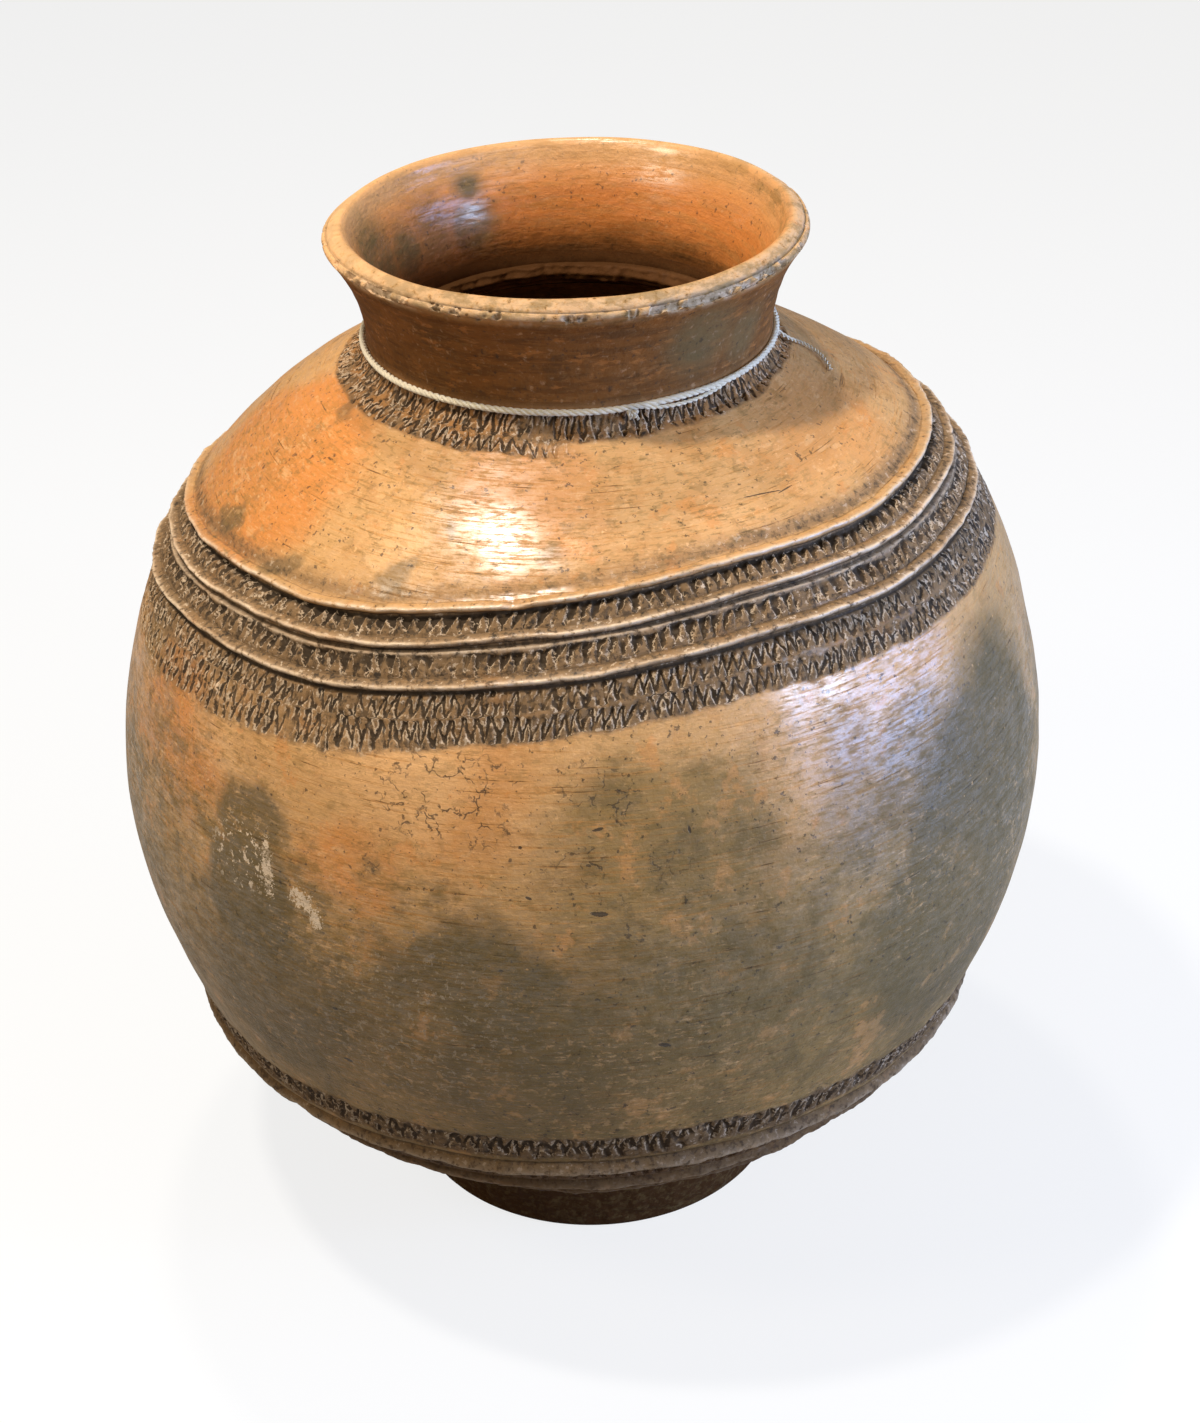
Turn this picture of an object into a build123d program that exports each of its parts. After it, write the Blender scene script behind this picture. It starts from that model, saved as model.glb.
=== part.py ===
from build123d import *
import os
from math import asin, cos, degrees, hypot, pi, radians, sin, sqrt, tan

# A large burnished earthenware jar: a globe on a ring foot, with a flared neck, applied cordons
# and a twine loop at the base of the neck.
# Millimetres, +Z up, origin on the floor at the centre of the foot.

# Globe
globe_radius = 209.0
wall = 9.0
scarf_angle = 2.5

# Foot ring, from the floor up to the line where its outside meets the globe
foot_radius = 89.0
foot_height = 36.0
foot_flare = 5.0
foot_wall = 17.0
foot_edge = 2.5

# Neck and lip
neck_radius = 85.0
neck_cove = 8.0
neck_rise = 45.0
lip_radius = 100.0
lip_height = 10.0
lip_swell = 2.0
lip_edge = 2.0
throat_coil = 8.0

# Base dish, past the outside of the foot
base_margin = 10.0

# Cordons: the shoulder set leans with the shoulder section, the lower set is level
shoulder_cordon_angles = (49.3, 52.9, 57.5)
shoulder_cordon_names = ("upper", "middle", "lower")
lower_cordon_angles = (121.0, 128.0, 136.0)
lower_cordon_names = ("upper", "middle", "lower")
lean_to_left = 4.2
lean_to_back = 3.5
cordon_width = 7.0
cordon_height = 3.5

# Twine loop, its knot and its loose end
twine_diameter = 3.0
twine_clearance = 0.3
knot_diameter = 5.2
knot_length = 6.0
knot_clearance = 0.6
knot_side = -74.0
knot_drop = 25.0
tail_diameter = 2.0
tail_start_side = -7.0
tail_points = ((91.5, -1.0), (98.0, 2.5), (104.2, 0.2), (107.6, -5.6), (109.0, -12.4))

# Values worked out from the sizes above
inner_radius = globe_radius - wall
base_radius = foot_radius + foot_flare + base_margin
base_seam = 180 - degrees(asin(base_radius / globe_radius))
lower_seam = lower_cordon_angles[1]
widest_seam = 90
shoulder_seam = shoulder_cordon_angles[1]
centre_z = foot_height + sqrt(globe_radius**2 - foot_radius**2)
centre = (0, 0, centre_z)
throat_radius = neck_radius - wall
cove_radius = neck_radius + neck_cove
cove_z = centre_z + sqrt((globe_radius + neck_cove)**2 - cove_radius**2)
lip_spread = lip_radius - neck_radius
flare_radius = (lip_spread**2 + neck_rise**2) / (2 * lip_spread)
flare_angle = degrees(asin(neck_rise / flare_radius))
lip_seam_angle = flare_angle - degrees(lip_height / flare_radius)
lean = hypot(lean_to_left, lean_to_back)
twine_radius = twine_diameter / 2
knot_radius = knot_diameter / 2
tail_radius = tail_diameter / 2


def at(radius, z):
    """A point of an outline, in the plane of X and Z."""
    return (radius, 0, z)


def on_globe(radius, angle):
    """A point of an outline, at an angle from the top of the globe."""
    return at(radius * sin(radians(angle)), centre_z + radius * cos(radians(angle)))


def globe_arc(radius, start, end):
    middle = (start + end) / 2
    return ThreePointArc(on_globe(radius, start), on_globe(radius, middle), on_globe(radius, end))


def turned(*edges):
    """The solid that a closed outline sweeps round the vertical axis."""
    return revolve(make_face(edges), Axis.Z)


def leaning(solid):
    """The solid, leaned about the centre of the globe."""
    tilt = Rotation(-lean_to_back, -lean_to_left, 0)
    return Pos(*centre) * tilt * Pos(0, 0, -centre_z) * solid


def globe_zone(top, bottom):
    """A band of the globe's wall between two scarfed seams."""
    return turned(
        globe_arc(globe_radius, top, bottom),
        Line(on_globe(globe_radius, bottom), on_globe(inner_radius, bottom - scarf_angle)),
        globe_arc(inner_radius, bottom - scarf_angle, top - scarf_angle),
        Line(on_globe(inner_radius, top - scarf_angle), on_globe(globe_radius, top)),
    )


def base_dish():
    """The floor of the jar, as far up as the first seam."""
    inner_seam = base_seam - scarf_angle
    return turned(
        globe_arc(globe_radius, base_seam, 180),
        Line(on_globe(globe_radius, 180), on_globe(inner_radius, 180)),
        globe_arc(inner_radius, 180, inner_seam),
        Line(on_globe(inner_radius, inner_seam), on_globe(globe_radius, base_seam)),
    )


def shoulder_cap():
    """The top of the globe down to the leaning seam, before the throat is cut."""
    inner_seam = shoulder_seam - scarf_angle
    cap = turned(
        globe_arc(globe_radius, 0, shoulder_seam),
        Line(on_globe(globe_radius, shoulder_seam), on_globe(inner_radius, inner_seam)),
        globe_arc(inner_radius, inner_seam, 0),
        Line(on_globe(inner_radius, 0), on_globe(globe_radius, 0)),
    )
    return leaning(cap)


def shoulder_dome():
    upward = (Align.CENTER, Align.CENTER, Align.MIN)
    throat = Pos(*centre) * Cylinder(throat_radius, 2 * globe_radius, align=upward)
    return shoulder_cap() - throat


def upper_belly():
    """The wall from the widest line up to the leaning seam, where the shoulder sits on it."""
    highest = shoulder_seam - 2 * lean
    return globe_zone(highest, widest_seam) - shoulder_cap()


def foot_ring():
    """The ring that the globe stands on, hollow underneath."""
    bottom_radius = foot_radius
    top_radius = foot_radius + foot_flare
    hole = foot_radius - foot_wall
    top_angle = 180 - degrees(asin(top_radius / globe_radius))
    hole_angle = 180 - degrees(asin(hole / globe_radius))
    hole_top = on_globe(globe_radius, hole_angle)
    ring = turned(
        Line(at(hole, 0), at(bottom_radius, 0)),
        Line(at(bottom_radius, 0), on_globe(globe_radius, top_angle)),
        globe_arc(globe_radius, top_angle, hole_angle),
        Line(hole_top, at(hole, 0)),
    )
    rims = ring.edges().filter_by(GeomType.CIRCLE).group_by(Axis.Z)[0]
    return fillet(rims, foot_edge)


def flare(radius, angle):
    """A point of the neck's curve, at an angle from its foot; larger radii lie further in."""
    turn = radians(angle)
    return at(neck_radius + flare_radius - radius * cos(turn), cove_z + radius * sin(turn))


def flare_arc(radius, start, end):
    return ThreePointArc(flare(radius, start), flare(radius, (start + end) / 2), flare(radius, end))


def neck_collar():
    """The flared neck, seated on the shoulder with a cove at its base."""
    outside = flare_radius
    inside = flare_radius + wall
    cove_angle = degrees(asin(cove_radius / (globe_radius + neck_cove)))
    throat_angle = degrees(asin(throat_radius / globe_radius))
    cove_turn = radians(90 - (90 - cove_angle) / 2)
    cove_middle = at(cove_radius - neck_cove * sin(cove_turn), cove_z - neck_cove * cos(cove_turn))
    seat_outer = on_globe(globe_radius, cove_angle)
    seat_inner = on_globe(globe_radius, throat_angle)
    return turned(
        flare_arc(outside, 0, lip_seam_angle),
        Line(flare(outside, lip_seam_angle), flare(inside, lip_seam_angle)),
        flare_arc(inside, lip_seam_angle, 0),
        Line(flare(inside, 0), seat_inner),
        globe_arc(globe_radius, throat_angle, cove_angle),
        ThreePointArc(seat_outer, cove_middle, flare(outside, 0)),
    )


def lip():
    """The coil that ends the neck: a flat rim, square to the flare, with rounded edges."""
    outside = flare_radius
    inside = flare_radius + wall
    swollen = inside + lip_swell
    coil = turned(
        flare_arc(outside, lip_seam_angle, flare_angle),
        Line(flare(outside, flare_angle), flare(swollen, flare_angle)),
        Line(flare(swollen, flare_angle), flare(inside, lip_seam_angle)),
        Line(flare(inside, lip_seam_angle), flare(outside, lip_seam_angle)),
    )
    rim_corners = (flare(outside, flare_angle), flare(swollen, flare_angle))
    rim = [coil.edges().filter_by(GeomType.CIRCLE).sort_by_distance(corner)[0] for corner in rim_corners]
    return fillet(rim, lip_edge)


def inner_coil():
    """The half-round coil that seals the neck's seam inside the throat."""
    half = throat_coil / 2
    edge_z = centre_z + sqrt(globe_radius**2 - throat_radius**2)
    low = at(throat_radius, edge_z - throat_coil)
    high = at(throat_radius, edge_z)
    return turned(
        ThreePointArc(low, at(throat_radius - half, edge_z - half), high),
        Line(high, low),
    )


def cordon(angle):
    """A rounded roll of clay on the globe, level, at an angle from its top."""
    half = degrees(cordon_width / 2 / globe_radius)
    start = on_globe(globe_radius, angle - half)
    end = on_globe(globe_radius, angle + half)
    crest = on_globe(globe_radius + cordon_height, angle)
    return turned(ThreePointArc(start, crest, end), globe_arc(globe_radius, angle + half, angle - half))


def twine_centre_radius():
    return neck_radius + twine_clearance + twine_radius


def knot_place():
    """The plane of the knot: its middle in the cove, with X along the twine."""
    reach = neck_cove - knot_clearance - knot_radius
    out = cove_radius - reach * cos(radians(knot_drop))
    height = cove_z - reach * sin(radians(knot_drop))
    side = radians(knot_side)
    middle = (out * cos(side), out * sin(side), height)
    along = (-sin(side), cos(side), 0)
    return Plane(origin=middle, x_dir=(cos(side), sin(side), 0), z_dir=along)


def neck_string():
    """The twine loop, open where the knot sits."""
    loop = Pos(0, 0, cove_z) * Torus(twine_centre_radius(), twine_radius)
    room = knot_place() * Box(4 * knot_diameter, 4 * knot_diameter, knot_length)
    return loop - room


def string_knot():
    barrel = Cylinder(knot_radius, knot_length)
    rounded = fillet(barrel.edges().filter_by(GeomType.CIRCLE), knot_radius / 4)
    return knot_place() * rounded


def tail_route():
    """The loose end's points: out of the loop, then along the shoulder."""
    side = radians(tail_start_side)
    start_radius = twine_centre_radius()
    route = [Vector(start_radius * cos(side), start_radius * sin(side), cove_z)]
    lie = globe_radius + twine_clearance + tail_radius
    for x, y in tail_points:
        route.append(Vector(x, y, centre_z + sqrt(lie**2 - x**2 - y**2)))
    return route


def string_tail():
    route = tail_route()
    radii = []
    for before, corner, after in zip(route, route[1:], route[2:]):
        first = corner - before
        second = after - corner
        shorter = min(first.length, second.length)
        half_turn = radians(first.get_angle(second)) / 2
        radii.append(0.45 * shorter / tan(half_turn))
    path = FilletPolyline(*route, radius=radii)
    section = Plane(origin=path @ 0, z_dir=path % 0) * Circle(tail_radius)
    tube = sweep(section, path=path)
    print("tail radii", [round(radius, 1) for radius in radii], "length", round(path.length, 1))
    expected = pi * tail_radius**2 * path.length
    print("tail volume", round(tube.volume, 2), "section times length", round(expected, 2))
    return tube


nodes = {
    "foot_ring": foot_ring(),
    "base_dish": base_dish(),
    "lower_bowl": globe_zone(lower_seam, base_seam),
    "lower_belly": globe_zone(widest_seam, lower_seam),
    "upper_belly": upper_belly(),
    "shoulder_dome": shoulder_dome(),
    "neck_collar": neck_collar(),
    "lip_coil": lip(),
    "throat_coil": inner_coil(),
    "neck_string": neck_string(),
    "string_knot": string_knot(),
    "string_tail": string_tail(),
}
for name, angle in zip(shoulder_cordon_names, shoulder_cordon_angles):
    nodes[name + "_shoulder_cordon"] = leaning(cordon(angle))
for name, angle in zip(lower_cordon_names, lower_cordon_angles):
    nodes[name + "_foot_cordon"] = cordon(angle)

os.makedirs("parts", exist_ok=True)
for name, solid in nodes.items():
    export_step(solid, os.path.join("parts", name + ".step"))
rim_z = flare(flare_radius, flare_angle)[2]
print("centre", round(centre_z, 2), "twine height", round(cove_z, 2), "rim", round(rim_z, 2))
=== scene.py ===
from collections import namedtuple
from functools import reduce
from types import SimpleNamespace

import bpy
import numpy as np
from bpy.props import FloatProperty, FloatVectorProperty, IntProperty, PointerProperty
from mathutils import Matrix, Vector


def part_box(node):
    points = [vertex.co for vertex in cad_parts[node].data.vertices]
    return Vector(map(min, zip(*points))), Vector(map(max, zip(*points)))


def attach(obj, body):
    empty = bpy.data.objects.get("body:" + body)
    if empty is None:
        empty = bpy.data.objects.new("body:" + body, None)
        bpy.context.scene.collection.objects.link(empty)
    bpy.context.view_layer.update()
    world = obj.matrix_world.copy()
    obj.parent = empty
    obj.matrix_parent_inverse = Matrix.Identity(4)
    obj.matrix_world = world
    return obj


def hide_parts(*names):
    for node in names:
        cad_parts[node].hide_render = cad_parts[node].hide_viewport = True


bl_info = {
    "name": "Burnished Jar",
    "version": (1, 0, 0),
    "blender": (4, 5, 0),
    "location": "View3D > Sidebar > Burnished Jar",
    "description": "Builds a burnished earthenware jar with stamped bands and a twine loop round its neck",
    "category": "Object",
}

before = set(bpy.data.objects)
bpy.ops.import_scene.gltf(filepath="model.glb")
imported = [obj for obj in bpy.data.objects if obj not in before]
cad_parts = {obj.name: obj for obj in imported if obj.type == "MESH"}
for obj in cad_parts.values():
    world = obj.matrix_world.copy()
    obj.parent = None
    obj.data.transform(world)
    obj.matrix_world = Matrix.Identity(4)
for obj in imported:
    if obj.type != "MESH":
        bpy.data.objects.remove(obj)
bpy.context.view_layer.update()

MM = 0.001
GLOBE_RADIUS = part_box("lower_belly")[1].x
GLOBE_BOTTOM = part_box("base_dish")[0].z
FOOT_RADIUS = 0.089
FOOT_TOP_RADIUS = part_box("foot_ring")[1].x
TWINE_LOW, TWINE_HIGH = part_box("neck_string")

# Columns round the jar: worked bands take the fine count, plain wall a third of it.
FINE = 1440
PLAIN = FINE // 3
LATTICE = 24

# What the sidebar's values of one kind share.
LENGTH = {"min": 0.0003, "unit": "LENGTH"}
EXTRA = {"min": 0.0, "unit": "LENGTH"}
COLOR = {"size": 3, "min": 0.0, "max": 1.0, "subtype": "COLOR"}
POWER = {"min": 0.0, "unit": "POWER"}


class JarShape(bpy.types.PropertyGroup):
    """Sizes of the clay."""

    globe_radius: FloatProperty(
        name="Globe radius", description="Outside radius of the globe", default=GLOBE_RADIUS, **LENGTH)
    centre_height: FloatProperty(
        name="Centre height", description="Height of the globe's centre above the floor",
        default=GLOBE_BOTTOM + GLOBE_RADIUS, **LENGTH)
    wall: FloatProperty(name="Wall", description="Thickness of the clay wall", default=0.009, **LENGTH)
    foot_radius: FloatProperty(
        name="Foot radius", description="Outside radius of the foot on the floor",
        default=FOOT_RADIUS, **LENGTH)
    foot_flare: FloatProperty(
        name="Foot flare", description="How far the foot widens up to the globe",
        default=FOOT_TOP_RADIUS - FOOT_RADIUS, **EXTRA)
    foot_wall: FloatProperty(
        name="Foot wall", description="Width of the ring that stands on the floor", default=0.017, **LENGTH)
    neck_radius: FloatProperty(
        name="Neck radius", description="Outside radius of the neck at the twine", default=0.085, **LENGTH)
    neck_cove: FloatProperty(
        name="Neck cove", description="Radius of the hollow at the base of the neck",
        default=0.008, **LENGTH)
    neck_rise: FloatProperty(
        name="Neck rise", description="Height from the twine to the rim's outer edge",
        default=0.045, **LENGTH)
    lip_radius: FloatProperty(
        name="Lip radius", description="Outside radius of the rim", default=0.1, **LENGTH)
    lip_height: FloatProperty(
        name="Lip height", description="Length of the lip coil along the flare", default=0.01, **LENGTH)
    lip_swell: FloatProperty(
        name="Lip swell", description="How far the rim stands in past the neck's inside",
        default=0.002, **EXTRA)
    lean: FloatProperty(
        name="Lean", description="How far the shoulder cordons lean from level",
        default=np.radians(5.465), subtype="ANGLE")
    lean_side: FloatProperty(
        name="Lean side", description="The side that the shoulder cordons lean down to",
        default=np.radians(140.2), subtype="ANGLE")
    lumps: FloatProperty(
        name="Lumps", description="Height of the unevenness left by hand building", default=0.0007, **EXTRA)


class JarClay(bpy.types.PropertyGroup):
    """Colours and finish of the clay."""

    tan: FloatVectorProperty(
        name="Tan", description="Burnished clay of the shoulder and belly",
        default=(0.61, 0.33, 0.124), **COLOR)
    orange: FloatVectorProperty(
        name="Orange", description="Well fired clay at the left shoulder and inside the neck",
        default=(0.65, 0.24, 0.054), **COLOR)
    brown: FloatVectorProperty(
        name="Brown", description="Duller clay low on the belly", default=(0.275, 0.166, 0.054), **COLOR)
    smoked: FloatVectorProperty(
        name="Smoked clay", description="Dark red-brown clay on the outside of the neck",
        default=(0.2, 0.072, 0.013), **COLOR)
    soot: FloatVectorProperty(
        name="Fire cloud", description="Grey clouds left by the fire",
        default=(0.136, 0.091, 0.034), **COLOR)
    stamped: FloatVectorProperty(
        name="Stamped clay", description="Unburnished clay of the stamped bands",
        default=(0.188, 0.114, 0.056), **COLOR)
    # Besides dirt, this colour paints shade in grooves, in the lip's incised line, under the cordons and
    # inside the stamped marks.
    dirt_and_shade: FloatVectorProperty(
        name="Dirt", description="Dark dirt in the stamped marks", default=(0.04, 0.028, 0.018), **COLOR)
    # Besides worn clay, this colour paints the glint on the raised lips beside the stamped marks.
    worn: FloatVectorProperty(
        name="Worn clay", description="Pale clay on worn crests and chips",
        default=(0.72, 0.55, 0.38), **COLOR)
    burnish: FloatProperty(
        name="Burnish", description="Roughness of the burnished clay",
        default=0.36, min=0, max=1, subtype="FACTOR")


class JarTwine(bpy.types.PropertyGroup):
    """Sizes and colours of the twine."""

    diameter: FloatProperty(
        name="Twine diameter", description="Thickness of the twine loop",
        default=TWINE_HIGH.z - TWINE_LOW.z, **LENGTH)
    loop_radius: FloatProperty(
        name="Loop radius", description="Radius of the loop at the middle of the twine",
        default=0.0868, **LENGTH)
    tail_diameter: FloatProperty(
        name="Tail diameter", description="Thickness of the loose end", default=0.002, **LENGTH)
    turns: IntProperty(
        name="Turns", description="Turns of the twist round the whole loop", default=60, min=3)
    cream: FloatVectorProperty(
        name="Cream", description="Colour of clean twine", default=(0.76, 0.66, 0.48), **COLOR)
    grime: FloatVectorProperty(
        name="Grime", description="Colour of dirty twine", default=(0.36, 0.31, 0.25), **COLOR)


class JarStage(bpy.types.PropertyGroup):
    """Floor, lamps and camera."""

    floor: FloatVectorProperty(
        name="Floor", description="Colour of the floor", default=(0.80, 0.80, 0.79), **COLOR)
    key_watts: FloatProperty(
        name="Key lamp", description="Strength of the high lamp", default=21.5, **POWER)
    back_watts: FloatProperty(
        name="Back lamp", description="Strength of the high lamp behind the jar", default=13.0, **POWER)
    left_watts: FloatProperty(
        name="Left lamp", description="Strength of the low lamp at the left", default=9.5, **POWER)
    side_watts: FloatProperty(
        name="Side lamp", description="Strength of the cool panel at the right", default=20.5, **POWER)
    window_watts: FloatProperty(
        name="Window lamp", description="Strength of the small cool lamp beside the panel",
        default=3.5, **POWER)
    fill_watts: FloatProperty(
        name="Fill lamp", description="Strength of the broad lamp at the front right", default=3.5, **POWER)
    sky: FloatProperty(
        name="Sky", description="Strength of the even light from all round", default=0.18, min=0)
    lens: FloatProperty(
        name="Lens", description="Focal length of the camera", default=66.1, min=10, unit="CAMERA")


def smooth(value, low, high):
    """A soft step from 0 at low to 1 at high."""
    t = np.clip((value - low) / (high - low), 0, 1)
    return t * t * (3 - 2 * t)


def hump(value, middle, width):
    """A soft hump of height 1."""
    return np.exp(-((value - middle) / width) ** 2)


def clay_noise(points, cell, seed):
    """Seeded smooth noise from -1 to 1 at points in millimetres, in lumps about one cell wide."""
    table = np.random.default_rng(seed).random((LATTICE, LATTICE, LATTICE))
    place = np.asarray(points) / cell
    low = np.floor(place).astype(int)
    part = place - low
    part = part * part * (3 - 2 * part)
    total = 0
    for corner in np.ndindex(2, 2, 2):
        x, y, z = np.moveaxis((low + corner) % LATTICE, -1, 0)
        share = np.prod(np.where(corner, part, 1 - part), axis=-1)
        total = total + share * table[x, y, z]
    return total * 2 - 1


def uneven(points, *layers):
    """Layers of clay noise together, each with its height, cell and seed."""
    return sum(height * clay_noise(points, cell, seed) for height, cell, seed in layers)


def around(columns):
    """Azimuths in degrees, one for each column, from the jar's right."""
    return np.arange(columns) * 360.0 / columns


# One stamped row: its top and bottom tier in degrees from the top of the globe, how many marks go round,
# how deep they are, its extra height at the left, its seed, its tool (0 draws zigzag strokes and 1 presses
# teeth), and how far it fades out at the front right.
StampRow = namedtuple("StampRow", "top bottom count depth spread seed tool fade", defaults=(0.0,))
NECK_ROWS = (
    StampRow(23.4, 26.3, 104, 1.3, 0.0, 11, 0.15),
    StampRow(26.0, 28.2, 110, 1.2, 0.0, 19, 0.0, 1.0),
)
SHOULDER_ROWS = (
    StampRow(49.95, 52.0, 189, 1.7, 0.0, 12, 1.0),
    StampRow(54.15, 56.5, 199, 1.7, 0.0, 13, 1.0),
    StampRow(58.4, 60.7, 226, 1.3, 0.7, 14, 0.1),
    StampRow(61.0, 63.4, 230, 1.2, 2.0, 15, 0.1),
)
FOOT_ROWS = (
    StampRow(114.8, 118.6, 181, 1.4, 0.0, 16, 0.3),
    StampRow(122.4, 126.3, 172, 1.4, 0.0, 17, 0.3),
    StampRow(129.6, 132.6, 165, 1.2, 0.0, 18, 1.0),
)
SHOULDER_CORDONS = {"upper": 49.3, "middle": 52.9, "lower": 57.5}
FOOT_CORDONS = {"upper": 121.0, "middle": 128.0, "lower": 136.0}
# Polar angles where the three bands of rows lie, with room to spare.
NECK_ZONE_END = 30
SHOULDER_ZONE = (38, 76)
FOOT_ZONE_START = 110
# Lines at the shoulder, in degrees from the leaning axis: two scored under the cordons, one wiped above
# them, and one ridge left standing.
SCORED_LINES = (52.05, 56.55)
WIPED_LINE = 47.8
RIDGE_LINE = 53.85
# Swellings of the globe out of a true sphere: height in millimetres, polar angle and width in degrees.
Swell = namedtuple("Swell", "height polar width")
SWELLS_ROUND = (Swell(-1.5, 29, 7), Swell(1.8, 54, 9))
SWELLS_RIGHT = (Swell(4.0, 47, 9), Swell(1.5, 123, 10.5))
SWELLS_LEFT = (Swell(4.0, 122, 8), Swell(-1.8, 50, 14))
BELLY_FLATNESS = 2.6
FOOT_FLATNESS = 0.8
SIDEWAYS_SWELL = 1.0

# A mark's section, in millimetres across its zigzag line: half a stroke's width, and how far a tooth's
# middle is shifted above the line and its half width grows.
MARK_SLOPE = 2.7
STROKE_HALF = 0.55
TOOTH_SHIFT = 1.6
TOOTH_GROWTH = 0.8
# The first field carries painted shade for the colour: grooves, cordon undersides, stamps and the lip's
# incised line.
FIELDS = ("recess", "worked", "worn", "turn_x", "turn_y", "row_v", "tool")


def swelling(polar, swells):
    """The swellings together, at polar angles."""
    return sum(swell.height * hump(polar, swell.polar, swell.width) for swell in swells)


class JarForm:
    """The jar's lines, in millimetres and degrees, from the sizes in the sidebar."""

    def __init__(self, shape):
        self.globe = shape.globe_radius / MM
        self.wall = shape.wall / MM
        self.centre = np.array([0, 0, shape.centre_height / MM])
        self.foot = shape.foot_radius / MM
        self.foot_top = (shape.foot_radius + shape.foot_flare) / MM
        self.foot_hole = (shape.foot_radius - shape.foot_wall) / MM
        self.neck = shape.neck_radius / MM
        self.cove = shape.neck_cove / MM
        self.rise = shape.neck_rise / MM
        self.lip = shape.lip_radius / MM
        self.lip_height = shape.lip_height / MM
        self.lip_swell = shape.lip_swell / MM
        self.lean = shape.lean
        self.lean_side = shape.lean_side
        self.lumps = shape.lumps / MM
        self.inside = self.globe - self.wall
        self.throat = self.neck - self.wall
        reach = self.globe + self.cove
        self.cove_z = self.centre[2] + np.sqrt(reach**2 - (self.neck + self.cove) ** 2)
        self.cove_angle = np.degrees(np.arcsin((self.neck + self.cove) / reach))
        spread = self.lip - self.neck
        self.flare_radius = (spread**2 + self.rise**2) / (2 * spread)
        self.flare_angle = np.degrees(np.arcsin(self.rise / self.flare_radius))
        self.lip_seam = self.flare_angle - np.degrees(self.lip_height / self.flare_radius)
        self.degree = np.radians(1) * self.globe

    def place(self, polar, side, radius):
        """Points at polar angles and azimuths, at a distance from the globe's centre."""
        polar, side, radius = np.broadcast_arrays(np.radians(polar), np.radians(side), radius)
        flat = radius * np.sin(polar)
        arm = (flat * np.cos(side), flat * np.sin(side), radius * np.cos(polar))
        return self.centre + np.stack(arm, -1)

    def wave(self, side):
        """The slow waver of the shoulder cordons."""
        return 0.55 * np.cos(np.radians(4 * (side + 120))) + 0.15 * np.cos(np.radians(9 * side + 40))

    def leaning(self, tier, side):
        """Polar angles of a shoulder cordon's line, which leans and wavers."""
        turn = np.radians(side) - self.lean_side
        across = np.sin(self.lean) * np.cos(turn)
        length = np.hypot(np.cos(self.lean), across)
        tilt = np.arctan2(across, np.cos(self.lean))
        return np.degrees(tilt + np.arccos(np.cos(np.radians(tier)) / length)) + self.wave(side)

    def shoulder_tier(self, polar, side):
        """The angle from the leaning axis at each point: the other way round from leaning."""
        polar = np.radians(polar - self.wave(side))
        turn = np.radians(side) - self.lean_side
        rise = np.cos(polar) * np.cos(self.lean)
        return np.degrees(np.arccos(rise + np.sin(polar) * np.sin(self.lean) * np.cos(turn)))

    def foot_line(self, tier, side):
        """Polar angles of a foot cordon's line, which wavers a little."""
        return tier + 0.3 * np.cos(np.radians(3 * side + 50)) + 0.12 * np.cos(np.radians(8 * side))

    def foot_tier(self, polar, side):
        return 2 * polar - self.foot_line(polar, side)

    def fullness(self, polar, side):
        """How far the hand-built globe stands out of a true sphere."""
        right = 0.5 + 0.5 * np.cos(np.radians(side))
        low = smooth(polar, 112, 124)
        belly = smooth(polar, 62, 76) * (1 - low)
        full = swelling(polar, SWELLS_ROUND) - BELLY_FLATNESS * belly - FOOT_FLATNESS * low
        full = full + right * swelling(polar, SWELLS_RIGHT) + (1 - right) * swelling(polar, SWELLS_LEFT)
        pole = smooth(polar, 22, 50) * (1 - smooth(polar, 130, 150))
        return full + SIDEWAYS_SWELL * np.sin(np.radians(2 * polar)) * np.cos(np.radians(side)) * pole

    def stamps(self, row, tier, side):
        """One stamped row: its depth, where it is, and the places of its marks."""
        tier, side = np.broadcast_arrays(tier, side)
        flat = self.place(tier, side, self.globe)
        left = smooth(-np.cos(np.radians(side)), 0.0, 1.0)
        seed = row.seed
        v = (tier - row.top) / (row.bottom - row.top + row.spread * left)
        v = v + uneven(flat, (0.13, 14, seed + 200), (0.11, 5, seed + 300))
        u = side * row.count / 360 + 0.35 * np.sin(np.radians(3 * side + 20 * seed))
        u = u + uneven(flat, (0.4, 17, seed + 400), (0.26, 6, seed + 500))
        u = u + (0.2 + 0.5 * clay_noise(flat, 40, seed + 700)) * (v - 0.5)
        press = np.clip(0.78 + uneven(flat, (0.6, 6.5, seed + 600), (0.45, 3, seed + 800)), 0.12, 1.15)
        there = 1 - row.fade * smooth(np.cos(np.radians(side + 20)), 0.0, 0.45)
        press = there * press * smooth(v, -0.06, 0.06) * (1 - smooth(v, 0.94, 1.06))
        zig = np.abs(2 * (u % 1.0) - 1)
        across = np.abs((v - zig) * MARK_SLOPE + TOOTH_SHIFT * row.tool) - TOOTH_GROWTH * row.tool
        cut = 1 - smooth(across - STROKE_HALF, -0.35, 0.35)
        worked = there * smooth(v, -0.2, 0.0) * (1 - smooth(v, 0.95, 1.2))
        if row.spread > 0:
            worked = worked * (1 - 0.5 * left)
        turn = 2 * np.pi * u
        marks = {"row_v": v, "tool": row.tool}
        marks["turn_x"] = press * np.cos(turn)
        marks["turn_y"] = press * np.sin(turn)
        return row.depth * press * cut, worked, marks

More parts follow.
